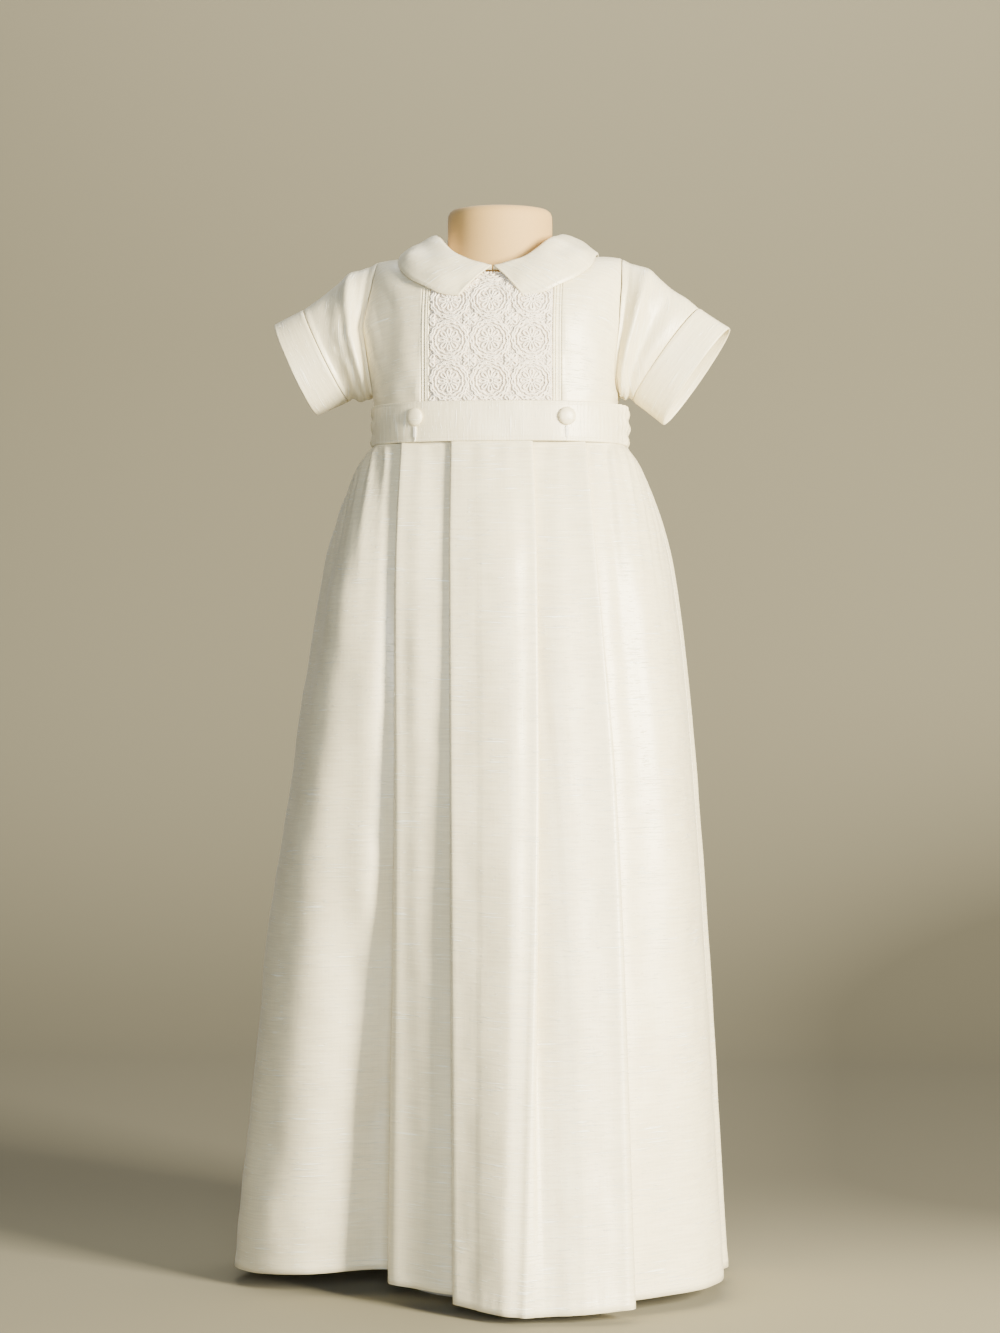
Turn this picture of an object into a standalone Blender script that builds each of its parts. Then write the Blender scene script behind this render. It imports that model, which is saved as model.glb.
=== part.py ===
"""A christening romper with its button-on long skirt, worn by a child's limbless dress form.

Metres, +Z up. The front faces -Y and the wearer's left is +X. The origin is the centre of the
stand's underside. Sizes below are in millimetres and are scaled once, when a mesh is made.
"""

import math

import bmesh
import bpy
import numpy as np

MM = 0.001

# Cloth walls and the gaps between pieces
CLOTH = 1.0
BODICE_CLOTH = 1.2
BAND_CLOTH = 1.5
CUFF_CLOTH = 1.6
SEAM = 0.3

# Heights above the floor
HEM_Z = 8.0
BACK_HEM_Z = 9.0
SKIRT_TOP_Z = 584.2
BAND_BOTTOM_Z = 584.5
BAND_TOP_Z = 612.0
BODICE_BOTTOM_Z = 604.0
ARCH_Z = 650.0
SHOULDER_NECK_Z = 718.0
SHOULDER_TIP_DROP = 3.5
UNDERARM_Z = 620.0
FORM_BOTTOM_Z = 440.0
NECK_TOP_Z = 750.0

# The worn bodice: a rounded box section that arches over the shoulders
WAIST_HALF_WIDTH = 86.5
CHEST_HALF_WIDTH = 89.0
HALF_DEPTH = 65.5
PLAN_POWER = 2.5
ARCH_POWER = 2.3
STRAIGHT_SHARE = 0.42
SHOULDER_TIP_X = 85.0
ARMHOLE_TURN = 70.0
ARMHOLE_ROUND = 0.3

# Neckline and collar
NECKLINE_HALF_WIDTH = 44.5
NECKLINE_FRONT = 47.0
NECKLINE_BACK = 45.0
COLLAR_SEAM_RADIUS = 43.6
COLLAR_SEAM_CLEAR = 0.9
COLLAR_CLEAR = 1.9
NECK_RADIUS = 36.5

# Front panels, as distances from the centre front
LACE_HALF_WIDTH = 42.3
TUCK_OUTER_X = 48.0
SHOULDER_FLAT = 0.2

# Stand
BASE_RADIUS = 63.0
BASE_THICK = 10.0
POLE_RADIUS = 9.0

BUTTON_RADIUS = 6.2
BUTTON_HEIGHT = 3.6
BUTTON_Z = 601.5
BUTTON_X = 52.0

WHITE = (0.86, 0.84, 0.78)
LACE_WHITE = (0.88, 0.85, 0.80)
JERSEY = (0.80, 0.66, 0.44)
STEEL = (0.55, 0.55, 0.54)

# Outer edge of a collar half: degrees round the neck from the centre front, x, z
COLLAR_EDGE = (
    # around, x, z
    (0, 22.0, 683.0),
    (20, 34.0, 684.8),
    (40, 45.6, 690.0),
    (58, 59.4, 697.6),
    (75, 67.8, 707.5),
    (90, 69.2, 716.6),
    (110, 65.0, 707.0),
    (135, 50.0, 696.0),
    (158, 28.0, 690.0),
    (180, 1.2, 688.0),
)
# How high the collar stands above the bodice at its roll
COLLAR_STAND = (
    # around, height
    (0, 1.6),
    (30, 5.0),
    (60, 10.0),
    (90, 13.0),
    (130, 14.5),
    (180, 14.0),
)

# Sleeves: seam ring and end ring of each cuff, by the ends of the ring's long axis in x and z
SLEEVES = {
    "left": dict(
        side=1, seam_top=(139.0, 679.0), seam_bottom=(93.5, 617.0),
        end_top=(160.6, 664.8), end_bottom=(114.6, 600.0), half_depth=19.0, back_drop=0.2,
    ),
    "right": dict(
        side=-1, seam_top=(138.0, 681.6), seam_bottom=(107.0, 618.0),
        end_top=(159.0, 671.0), end_bottom=(130.0, 608.5), half_depth=26.0, back_drop=0.0,
    ),
}

# Skirt lines, each at five heights: waist, just below it, hip, knee and hem
LEVELS_Z = (584.2, 570.0, 500.0, 330.0, 8.0)
SKIRT_LINES = {
    # line: x and y at each height; at the waist the band's own section replaces y
    "right_side": ((-87.8, 6.0), (-98.5, 6.0), (-125.0, 8.0), (-149.0, 14.0), (-182.5, 24.0)),
    "right_edge": ((-86.8, -14.0), (-97.5, -15.0), (-122.5, -20.0), (-147.5, -20.0), (-183.0, -12.0)),
    "right_panel": ((-77.5, -36.5), (-84.5, -43.0), (-99.0, -61.0), (-114.0, -64.0), (-132.0, -53.0)),
    "outer_right": ((-61.5, -54.5), (-61.0, -62.0), (-61.0, -84.0), (-59.0, -94.0), (-61.0, -93.0)),
    "inner_right": ((-25.6, -65.5), (-25.0, -72.0), (-23.0, -95.0), (-19.5, -114.0), (-16.0, -128.0)),
    "centre": ((1.5, -67.0), (2.0, -74.0), (5.0, -98.5), (8.0, -119.0), (9.0, -142.0)),
    "inner_left": ((27.6, -65.5), (29.0, -72.0), (33.5, -95.0), (36.5, -120.0), (32.0, -151.0)),
    "outer_left": ((63.0, -54.0), (65.0, -61.0), (73.0, -84.0), (87.0, -106.0), (98.5, -132.0)),
    "left_panel": ((78.5, -35.0), (86.0, -42.0), (103.0, -56.0), (120.0, -70.0), (134.0, -77.0)),
    "left_edge": ((86.8, -14.0), (95.5, -15.0), (117.0, -18.0), (135.0, -24.0), (155.0, -38.0)),
    "left_side": ((87.8, 6.0), (96.5, 6.0), (118.5, 8.0), (136.0, 8.0), (154.0, 4.0)),
}
# The hem's height at each line, and on the lower layer below each fold
HEM_HEIGHTS = {
    "right_side": 10.0, "right_edge": 11.0, "right_panel": 16.0, "outer_right": 14.0,
    "inner_right": 8.5, "centre": 6.5, "inner_left": 5.0, "outer_left": 8.0, "left_panel": 10.0,
    "left_edge": 11.0, "left_side": 10.5,
}
LOWER_HEM_HEIGHTS = {"outer_right": 17.0, "inner_right": 11.0, "inner_left": 5.5, "outer_left": 9.0}
# Knife pleats at the same heights: the space between the layers, how far each tucks under, and
# how far the fold has swung open
PLEATS = {
    "outer_right": dict(
        gap=(2.2, 2.4, 3.0, 8.0, 19.0), under=(16.0, 18.0, 18.0, 18.0, 16.0), open=(0, 0, 0, 0, 0),
    ),
    "inner_right": dict(
        gap=(2.2, 2.4, 2.6, 4.5, 9.0), under=(16.0, 18.0, 20.0, 20.0, 18.0), open=(0, 0, 0, 0, 0),
    ),
    "inner_left": dict(
        gap=(2.2, 2.4, 2.6, 3.0, 3.0), under=(16.0, 18.0, 20.0, 20.0, 20.0), open=(0, 0, 0, 0.4, 1.0),
    ),
    "outer_left": dict(
        gap=(2.2, 2.4, 2.6, 6.0, 12.0), under=(16.0, 18.0, 18.0, 18.0, 16.0), open=(0, 0, 0, 0, 0),
    ),
}
OPEN_OUT = 11.0
OPEN_IN = 9.0
BACK_DEPTHS = (66.0, 74.0, 96.0, 122.0, 150.0)
BACK_FLUTES = 9
BACK_FLUTE_SIZE = (0.8, 2.0, 3.6, 5.0, 9.0)
FLARE_LEVELS = 13
BACK_LEVELS = 11

parts = bpy.data.collections.new("christening_romper")
cutters = bpy.data.collections.new("cutters")


def start_scene():
    for old in list(bpy.data.objects):
        bpy.data.objects.remove(old)
    for collection in (parts, cutters):
        bpy.context.scene.collection.children.link(collection)


def material(name, colour, roughness, metallic=0.0):
    made = bpy.data.materials.new(name)
    made.use_nodes = True
    shader = made.node_tree.nodes["Principled BSDF"]
    shader.inputs["Base Color"].default_value = (*colour, 1.0)
    shader.inputs["Roughness"].default_value = roughness
    shader.inputs["Metallic"].default_value = metallic
    return made


def add_object(name, mesh, finish, collection=parts):
    made = bpy.data.objects.new(name, mesh)
    made.data.materials.append(finish)
    collection.objects.link(made)
    return made


def grid_mesh(name, rows, closed=False):
    """An open mesh through rows of points, each row round or along the cloth."""
    rows = np.asarray(rows, float) * MM
    levels, across = rows.shape[:2]
    shape = bmesh.new()
    points = [[shape.verts.new(p) for p in row] for row in rows]
    last = across if closed else across - 1
    for j in range(levels - 1):
        for i in range(last):
            k = (i + 1) % across
            shape.faces.new((points[j][i], points[j][k], points[j + 1][k], points[j + 1][i]))
    mesh = bpy.data.meshes.new(name)
    shape.to_mesh(mesh)
    shape.free()
    mesh.shade_smooth()
    return mesh


def cloth(name, rows, thickness, finish, closed=False):
    """A cloth wall with its middle on the rows of points."""
    made = add_object(name, grid_mesh(name, rows, closed), finish)
    wall = made.modifiers.new("wall", "SOLIDIFY")
    wall.thickness = thickness * MM
    wall.offset = 0.0
    wall.use_even_offset = True
    return made


def turned(name, profile, finish, steps=32, collection=parts):
    """A turned solid from (radius, z) pairs down its outer side, with a flat top and underside."""
    shape = bmesh.new()
    rings = []
    for radius, z in profile:
        turns = [2 * math.pi * i / steps for i in range(steps)]
        rings.append([
            shape.verts.new((radius * MM * math.cos(a), radius * MM * math.sin(a), z * MM)) for a in turns
        ])
    for upper, lower in zip(rings[:-1], rings[1:]):
        for i in range(steps):
            k = (i + 1) % steps
            shape.faces.new((upper[i], lower[i], lower[k], upper[k]))
    shape.faces.new(rings[0])
    shape.faces.new(rings[-1][::-1])
    mesh = bpy.data.meshes.new(name)
    shape.to_mesh(mesh)
    shape.free()
    return add_object(name, mesh, finish, collection)


def interpolate(table, at):
    """A smooth value from (position, value) rows, level at both ends."""
    places = [row[0] for row in table]
    values = [np.asarray(row[1:], float) for row in table]
    return np.array([smooth_value(places, [v[k] for v in values], at) for k in range(len(values[0]))])


def smooth_value(places, values, at):
    """Monotone cubic interpolation, which never swings past its own values."""
    order = np.argsort(places)
    x = np.asarray(places, float)[order]
    y = np.asarray(values, float)[order]
    step = np.diff(x)
    slope = np.diff(y) / step
    tangent = np.concatenate([[slope[0]], np.zeros(len(x) - 2), [slope[-1]]])
    for i in range(1, len(x) - 1):
        if slope[i - 1] * slope[i] > 0:
            w1 = 2 * step[i] + step[i - 1]
            w2 = step[i] + 2 * step[i - 1]
            tangent[i] = (w1 + w2) / (w1 / slope[i - 1] + w2 / slope[i])
    at = min(max(at, x[0]), x[-1])
    i = min(int(np.searchsorted(x, at, side="right")) - 1, len(x) - 2)
    t = (at - x[i]) / step[i]
    return float(
        (1 + 2 * t) * (1 - t) ** 2 * y[i] + t * (1 - t) ** 2 * step[i] * tangent[i]
        + t * t * (3 - 2 * t) * y[i + 1] + t * t * (t - 1) * step[i] * tangent[i + 1]
    )


def curve_through(points, count):
    """count evenly spaced points on a smooth curve through the given plan points."""
    p = np.asarray(points, float)
    gaps = np.linalg.norm(np.diff(p, axis=0), axis=1)
    slopes = np.diff(p, axis=0) / gaps[:, None]
    tangents = np.vstack([slopes[:1], slopes[:-1], slopes[-1:]])
    if len(p) > 2:
        weights = gaps[:-1] + gaps[1:]
        inner = (slopes[:-1] * gaps[1:, None] + slopes[1:] * gaps[:-1, None]) / weights[:, None]
        tangents = np.vstack([slopes[:1], inner, slopes[-1:]])
    fine = []
    for i, gap in enumerate(gaps):
        for t in np.linspace(0, 1, 12, endpoint=False):
            fine.append(
                (1 + 2 * t) * (1 - t) ** 2 * p[i] + t * (1 - t) ** 2 * gap * tangents[i]
                + t * t * (3 - 2 * t) * p[i + 1] + t * t * (t - 1) * gap * tangents[i + 1]
            )
    fine.append(p[-1])
    return resample(np.array(fine), count)


def resample(line, count):
    """The line again with count points, evenly spaced along it."""
    line = np.asarray(line, float)
    along = np.concatenate([[0], np.cumsum(np.linalg.norm(np.diff(line, axis=0), axis=1))])
    at = np.linspace(0, along[-1], count)
    return np.stack([np.interp(at, along, line[:, k]) for k in range(line.shape[1])], axis=1)


# The worn bodice's surface


def power_of(value, power):
    return math.copysign(abs(value) ** power, value)


def chest_half_width(z):
    share = min(max((z - BAND_TOP_Z) / (ARCH_Z - BAND_TOP_Z), 0.0), 1.0)
    return WAIST_HALF_WIDTH + (CHEST_HALF_WIDTH - WAIST_HALF_WIDTH) * share


def rise_height(rise):
    """Height on the straight part of the bodice, and the arch angle above it."""
    if rise <= STRAIGHT_SHARE:
        return BODICE_BOTTOM_Z + (ARCH_Z - BODICE_BOTTOM_Z) * rise / STRAIGHT_SHARE, 0.0
    return ARCH_Z, math.radians(90.0) * (rise - STRAIGHT_SHARE) / (1 - STRAIGHT_SHARE)


def shoulder_height(x):
    return SHOULDER_NECK_Z - SHOULDER_TIP_DROP * (x / SHOULDER_TIP_X) ** 2


def torso_point(turn, rise, grow=0.0, back=False):
    """turn is degrees from the centre line towards the side, rise is 0 at the bodice's lower
    edge and 1 on the shoulder line, and grow is how far the point lies outside the bodice."""
    z, lift = rise_height(rise)
    half_width = chest_half_width(z) + grow
    angle = math.radians(turn)
    x = half_width * power_of(math.sin(angle), 2 / PLAN_POWER)
    depth = (HALF_DEPTH + grow) * abs(math.cos(angle)) ** (2 / PLAN_POWER)
    depth *= max(math.cos(lift), 0.0) ** (2 / ARCH_POWER)
    if lift > 0:
        crest = shoulder_height(x) + grow - ARCH_Z
        z = ARCH_Z + crest * math.sin(lift) ** (2 / ARCH_POWER)
    y = depth + SHOULDER_FLAT
    return np.array([x, y if back else -y, z])


def turn_at(x, rise, grow=0.0):
    """The turn at which the surface reaches this distance from the centre plane."""
    half_width = chest_half_width(rise_height(rise)[0]) + grow
    return math.degrees(math.asin(min(1.0, abs(x) / half_width) ** (PLAN_POWER / 2)))


def rise_at_depth(x, depth):
    """The rise at which the arch over x comes in to this depth."""
    full = HALF_DEPTH * (1 - min(1.0, abs(x) / CHEST_HALF_WIDTH) ** PLAN_POWER) ** (1 / PLAN_POWER)
    share = min(1.0, max(0.0, depth / full)) ** (ARCH_POWER / 2)
    return STRAIGHT_SHARE + (1 - STRAIGHT_SHARE) * math.acos(share) / math.radians(90.0)


def rise_at_height(x, z):
    """The rise at which the arch over x reaches this height."""
    share = min(1.0, max(0.0, (z - ARCH_Z) / (shoulder_height(x) - ARCH_Z)))
    return STRAIGHT_SHARE + (1 - STRAIGHT_SHARE) * math.asin(share ** (ARCH_POWER / 2)) / math.radians(90.0)


def neckline_rise(x, back):
    reach = NECKLINE_BACK if back else NECKLINE_FRONT
    inside = 1 - (x / NECKLINE_HALF_WIDTH) ** 2
    return rise_at_depth(x, reach * math.sqrt(inside)) if inside > 0 else 1.0


def armhole_turn(rise):
    """How far round the bodice's panel reaches: to the side seam, then in along the armhole."""
    start = STRAIGHT_SHARE * (UNDERARM_Z - BODICE_BOTTOM_Z) / (ARCH_Z - BODICE_BOTTOM_Z)
    climbed = min(max((rise - start) / ARMHOLE_ROUND, 0.0), 1.0)
    return 90.0 - (90.0 - ARMHOLE_TURN) * math.sqrt(1 - (1 - climbed) ** 2)


def bodice_patch(inner_x, outer_x, side, back, across, up, grow):
    """Rows of points of a bodice panel between two distances from the centre plane;
    outer_x None runs to the side seam and the armhole."""
    rows = []
    for j in range(up):
        share = j / (up - 1)
        row = []
        for i in range(across):
            t = i / (across - 1)
            outer = armhole_turn(share) if outer_x is None else turn_at(outer_x, share)
            turn = turn_at(inner_x, share) * (1 - t) + outer * t
            x = torso_point(turn, share, grow)[0]
            point = torso_point(turn, share * neckline_rise(x, back), grow, back)
            row.append((point[0] * side, point[1], point[2]))
        rows.append(row)
    return rows


def make_bodice(cotton, lace_finish):
    middle = -BODICE_CLOTH / 2
    for name, side in (("left", 1), ("right", -1)):
        rows = bodice_patch(TUCK_OUTER_X + SEAM, None, side, False, 9, 12, middle)
        cloth(f"bodice_front_{name}", rows, BODICE_CLOTH, cotton)
        rows = bodice_patch(LACE_HALF_WIDTH + SEAM, TUCK_OUTER_X, side, False, 4, 12, middle)
        for row in rows:
            if row[0][2] > BAND_TOP_Z + 7.0:
                for i in (1, 2):
                    row[i] = (row[i][0], row[i][1] - 0.4, row[i][2])
        cloth(f"tuck_strip_{name}", rows, BODICE_CLOTH, cotton)
        rows = bodice_patch(0.3, None, side, True, 11, 12, middle)
        cloth(f"bodice_back_{name}", rows, BODICE_CLOTH, cotton)
    make_lace(lace_finish, middle)


def lace_relief(x, z):
    """Raised rings and spokes of a rosette, for the lace's thick cords."""
    centre_z = 652.0
    radius = math.hypot(x, z - centre_z)
    spoke = math.cos(8 * math.atan2(x, z - centre_z))
    ring = math.cos(2 * math.pi * radius / 13.0 + 0.5 * spoke)
    return 0.35 * ring + 0.2 * spoke * min(1.0, radius / 15.0)


def make_lace(finish, middle):
    across, up = 13, 16
    rows = []
    for j in range(up):
        share = j / (up - 1)
        row = []
        for i in range(across):
            x = LACE_HALF_WIDTH * (2 * i / (across - 1) - 1)
            rise = share * neckline_rise(x, False)
            point = torso_point(turn_at(x, rise), rise, middle)
            inside = 0 < i < across - 1 and j < up - 1 and point[2] > BAND_TOP_Z + 7.0
            raised = lace_relief(x, point[2]) + 0.55 if inside else 0.0
            row.append((math.copysign(point[0], x), point[1] - raised, point[2]))
        rows.append(row)
    cloth("lace_panel", rows, BODICE_CLOTH, finish)


# Collar


def collar_row(around, side, back_gap):
    """One section of a collar half, from its seam up the stand and down the fall."""
    angle = math.radians(around)
    back = around > 90
    seam_x = max(COLLAR_SEAM_RADIUS * math.sin(angle), back_gap)
    reach = (NECKLINE_BACK if back else NECKLINE_FRONT) - 0.9
    seam_rise = rise_at_depth(seam_x, reach * abs(math.cos(angle)))
    edge_x, edge_z = interpolate(COLLAR_EDGE, around)
    edge_rise = rise_at_height(edge_x, edge_z)
    seam_v = 2 - seam_rise if back else seam_rise
    edge_v = 2 - edge_rise if back else edge_rise
    stand = interpolate(COLLAR_STAND, around)[0]
    row = [(seam_x, seam_v, COLLAR_SEAM_CLEAR), (seam_x, seam_v, COLLAR_CLEAR + stand * 0.5)]
    for out in (0.0, 0.18, 0.4, 0.65, 0.85, 1.0):
        x = seam_x + (edge_x - seam_x) * out
        v = seam_v + (edge_v - seam_v) * out
        row.append((x, v, COLLAR_CLEAR + 0.3 + stand * (1 - out ** 1.8)))
    points = []
    for x, v, grow in row:
        over = v > 1
        rise = 2 - v if over else v
        point = torso_point(turn_at(x, rise, grow), rise, grow, over)
        points.append((side * point[0], point[1], point[2]))
    return points


def make_collar(finish):
    places = [0, 6, 14, 24, 36, 48, 60, 72, 82, 90, 98, 108, 120, 134, 150, 166, 180]
    for name, side in (("left", 1), ("right", -1)):
        rows = [collar_row(a, side, 0.8) for a in places]
        cloth(f"collar_{name}", rows, CLOTH, finish)


# Sleeves and cuffs


def armhole_ring(side, count, clear):
    """The armhole from the shoulder tip down the front to the underarm and up the back."""
    start = STRAIGHT_SHARE * (UNDERARM_Z - BODICE_BOTTOM_Z) / (ARCH_Z - BODICE_BOTTOM_Z)
    rises = np.linspace(1.0, start, 60)
    front = [torso_point(armhole_turn(r), r, -BODICE_CLOTH / 2) for r in rises]
    back = [torso_point(armhole_turn(r), r, -BODICE_CLOTH / 2, True) for r in rises[::-1]]
    ring = resample(np.array(front + back), count + 1)[:-1]
    ring[:, 0] = side * (ring[:, 0] + clear)
    return ring


def cuff_ring(side, top, bottom, half_depth, back_drop, count):
    """A flattened ring whose long axis runs from top to bottom."""
    top, bottom = np.array(top, float), np.array(bottom, float)
    middle, reach = (top + bottom) / 2, (top - bottom) / 2
    ring = []
    for angle in np.linspace(0, 2 * math.pi, 181):
        along = math.cos(angle)
        across = math.sin(angle)
        depth = -power_of(across, 0.9) * half_depth
        x, z = middle + reach * along
        ring.append((side * x, depth, z - back_drop * depth))
    return resample(np.array(ring), count + 1)[:-1]


def sleeve_rings(name, count, steps, clear):
    """Rings from the armhole to the cuff's seam, fuller over the shoulder."""
    s = SLEEVES[name]
    arm = armhole_ring(s["side"], count, clear)
    end = cuff_ring(s["side"], s["seam_top"], s["seam_bottom"], s["half_depth"], s["back_drop"], count)
    rows = []
    for j in range(steps):
        t = j / (steps - 1)
        ring = arm * (1 - t) + end * t
        for i in range(count):
            up = math.cos(2 * math.pi * i / count)
            ring[i, 2] += 4.0 * math.sin(math.pi * t) * max(0.0, up)
            ring[i, 1] *= 1 + 0.12 * math.sin(math.pi * t)
        rows.append(ring)
    return rows


def make_sleeves(finish):
    count = 26
    for name, s in SLEEVES.items():
        rows = sleeve_rings(name, count, 7, 1.1)
        shared = (s["half_depth"], s["back_drop"], count)
        first = cuff_ring(s["side"], s["seam_top"], s["seam_bottom"], *shared)
        last = cuff_ring(s["side"], s["end_top"], s["end_bottom"], *shared)
        away = (last - first).mean(axis=0)
        away /= np.linalg.norm(away)
        cloth(f"sleeve_{name}", rows, CLOTH, finish, closed=True)
        cuff = [first * (1 - t) + last * t + away * 0.5 * (1 - t) for t in (0.0, 0.5, 1.0)]
        cloth(f"cuff_{name}", cuff, CUFF_CLOTH, finish, closed=True)


# Waistbands and buttons


def waist_point(turn, z, grow):
    """A point of the waist's section, round from the centre front towards +X."""
    angle = math.radians(turn)
    x = (WAIST_HALF_WIDTH + grow) * power_of(math.sin(angle), 2 / PLAN_POWER)
    y = -(HALF_DEPTH + grow) * power_of(math.cos(angle), 2 / PLAN_POWER)
    return (x, y, z)


def even_ring(make, count, start, stop):
    line = [make(turn) for turn in np.linspace(start, stop, 361)]
    return resample(np.array(line), count)


def band_rows(levels, count, open_gap):
    """levels are (z, grow) pairs; the ring is open by open_gap degrees at the centre back."""
    stop = 180.0 - open_gap
    return [
        even_ring(lambda turn, z=z, grow=grow: waist_point(turn, z, grow), count, -stop, stop)
        for z, grow in levels
    ]


def make_bands(finish):
    outer = 0.5 + BAND_CLOTH / 2
    levels = [(BAND_BOTTOM_Z, outer), ((BAND_BOTTOM_Z + BAND_TOP_Z) / 2, outer), (BAND_TOP_Z, outer)]
    cloth("skirt_waistband", band_rows(levels, 57, 0.02), BAND_CLOTH, finish)
    levels = [(585.0, -8.0), (594.0, -3.6), (BODICE_BOTTOM_Z - SEAM, -0.6)]
    cloth("romper_waistband", band_rows(levels, 45, 0.02), CLOTH, finish)


def front_depth_at(x, grow):
    """How far forward the waist's section reaches at this x."""
    share = min(1.0, abs(x) / (WAIST_HALF_WIDTH + grow)) ** PLAN_POWER
    return (HALF_DEPTH + grow) * (1 - share) ** (1 / PLAN_POWER)


def button_mesh(name, finish, place, facing):
    """A domed covered button with its back on the cloth, turned to face outwards."""
    profile = [
        (BUTTON_RADIUS * 0.2, BUTTON_HEIGHT), (BUTTON_RADIUS * 0.5, BUTTON_HEIGHT * 0.93),
        (BUTTON_RADIUS * 0.85, BUTTON_HEIGHT * 0.66), (BUTTON_RADIUS, BUTTON_HEIGHT * 0.3),
        (BUTTON_RADIUS * 0.8, 0.0),
    ]
    made = turned(name, profile, finish, steps=16)
    made.location = [c * MM for c in place]
    made.rotation_euler = (math.radians(90.0), 0.0, math.radians(facing))
    return made


def make_buttons(finish):
    face = 0.5 + BAND_CLOTH + 0.3
    for name, x in (("left", BUTTON_X), ("right", -BUTTON_X)):
        slope = (front_depth_at(x + 1, face) - front_depth_at(x - 1, face)) / 2
        facing = math.degrees(math.atan(slope)) * -1
        depth = front_depth_at(abs(x), face)
        button_mesh(f"button_{name}", finish, (x, -depth, BUTTON_Z), facing)
    for number, rise in ((1, 0.2), (2, 0.45), (3, 0.7)):
        rise *= neckline_rise(0.0, True)
        place = torso_point(0.0, rise, 0.45, True)
        along = torso_point(0.0, rise + 0.02, 0.0, True) - torso_point(0.0, rise - 0.02, 0.0, True)
        made = button_mesh(f"back_button_{number}", finish, place, 180.0)
        made.rotation_euler = (-math.pi / 2 - math.atan2(along[1], along[2]), 0.0, 0.0)
        made.scale = (0.7, 0.7, 0.7)


# Skirt


def at_height(values, z):
    """A smooth value at height z from the values at the skirt's own heights."""
    return smooth_value(LEVELS_Z, values, z)


def line_at(name, z):
    line = list(SKIRT_LINES[name])
    x, y = line[0]
    line[0] = (x, math.copysign(front_depth_at(x, 1.2), y)) if y < -20 else (x, y)
    return np.array([at_height([p[k] for p in line], z) for k in (0, 1)])


def inward(curve):
    """Unit vectors to the wearer's side of a plan curve that runs from -X to +X in front."""
    ahead = np.gradient(curve, axis=0)
    ahead /= np.linalg.norm(ahead, axis=1)[:, None]
    return np.stack([-ahead[:, 1], ahead[:, 0]], axis=1)


def half_turn(start, stop, direction, count=3):
    """Points of a fold's round end between two layers, bulging along direction."""
    middle, reach = (start + stop) / 2, (start - stop) / 2
    radius = np.linalg.norm(reach)
    angles = np.linspace(0, math.pi, count + 2)[1:-1]
    return [middle + reach * math.cos(a) + direction * radius * math.sin(a) for a in angles]


def skirt_front_ring(z):
    """The front cloth in plan at height z, from the right side seam to the left one, as
    (x, y, height of the hem below)."""
    hem = [HEM_HEIGHTS[n] for n in ("inner_right", "centre", "inner_left")]
    centre = curve_through([line_at(n, z) for n in ("inner_right", "centre", "inner_left")], 7)
    centre = with_heights(centre, hem)
    right = side_of_front(z, centre, "right")
    left = side_of_front(z, centre[::-1], "left")
    return np.vstack([right[::-1], centre[1:-1], left])


def with_heights(points, heights):
    places = np.linspace(0, len(points) - 1, len(heights))
    return np.column_stack([points, np.interp(range(len(points)), places, heights)])


def side_of_front(z, centre, name):
    """From the centre panel's fold edge out to the side seam, through both pleats."""
    upper = centre[:, :2]
    rows = []
    for pleat, nexts in (
        (f"inner_{name}", [f"outer_{name}"]),
        (f"outer_{name}", [f"{name}_panel", f"{name}_edge", f"{name}_side"]),
    ):
        gap = at_height(PLEATS[pleat]["gap"], z)
        under = at_height(PLEATS[pleat]["under"], z)
        swing = at_height(PLEATS[pleat]["open"], z)
        along = np.concatenate([[0], np.cumsum(np.linalg.norm(np.diff(upper, axis=0), axis=1))])
        places = np.linspace(0, under, 4)
        stretch = np.stack([np.interp(places, along, upper[:, k]) for k in (0, 1)], axis=1)
        inwards = inward(stretch) * (-1 if name == "left" else 1)
        back_layer = stretch + inwards * gap
        lower = stretch + inwards * 2 * gap
        outwards = -(stretch[1] - stretch[0]) / np.linalg.norm(stretch[1] - stretch[0])
        tip = (stretch[-1] - stretch[-2]) / np.linalg.norm(stretch[-1] - stretch[-2])
        closed = [upper[0]] + half_turn(upper[0], back_layer[0], outwards)
        closed += list(back_layer) + half_turn(back_layer[-1], lower[-1], tip)
        closed = np.array(closed)
        valley = upper[0] + outwards * OPEN_OUT + inwards[0] * OPEN_IN
        opened = np.array([upper[0] * (1 - t) + valley * t for t in np.linspace(0, 1, len(closed))])
        fold = closed * (1 - swing) + opened * swing
        rows.append(with_heights(fold, [HEM_HEIGHTS[pleat], LOWER_HEM_HEIGHTS[pleat]]))
        knots = [lower[-1], lower[2], lower[1]]
        first = line_at(nexts[0], z)
        free = [valley + (first - valley) * t for t in (0.04, 0.08, 0.2)]
        knots = [k * (1 - swing) + f * swing for k, f in zip(knots, free)]
        knots += [line_at(n, z) for n in nexts]
        panel = curve_through(knots, 8 if len(nexts) == 1 else 12)
        heights = [LOWER_HEM_HEIGHTS[pleat]] + [HEM_HEIGHTS[n] for n in nexts]
        rows.append(with_heights(panel, heights)[:-1])
        upper = panel[::-1]
    rows.append(with_heights(panel, heights)[-1:])
    return np.vstack(rows)


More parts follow.
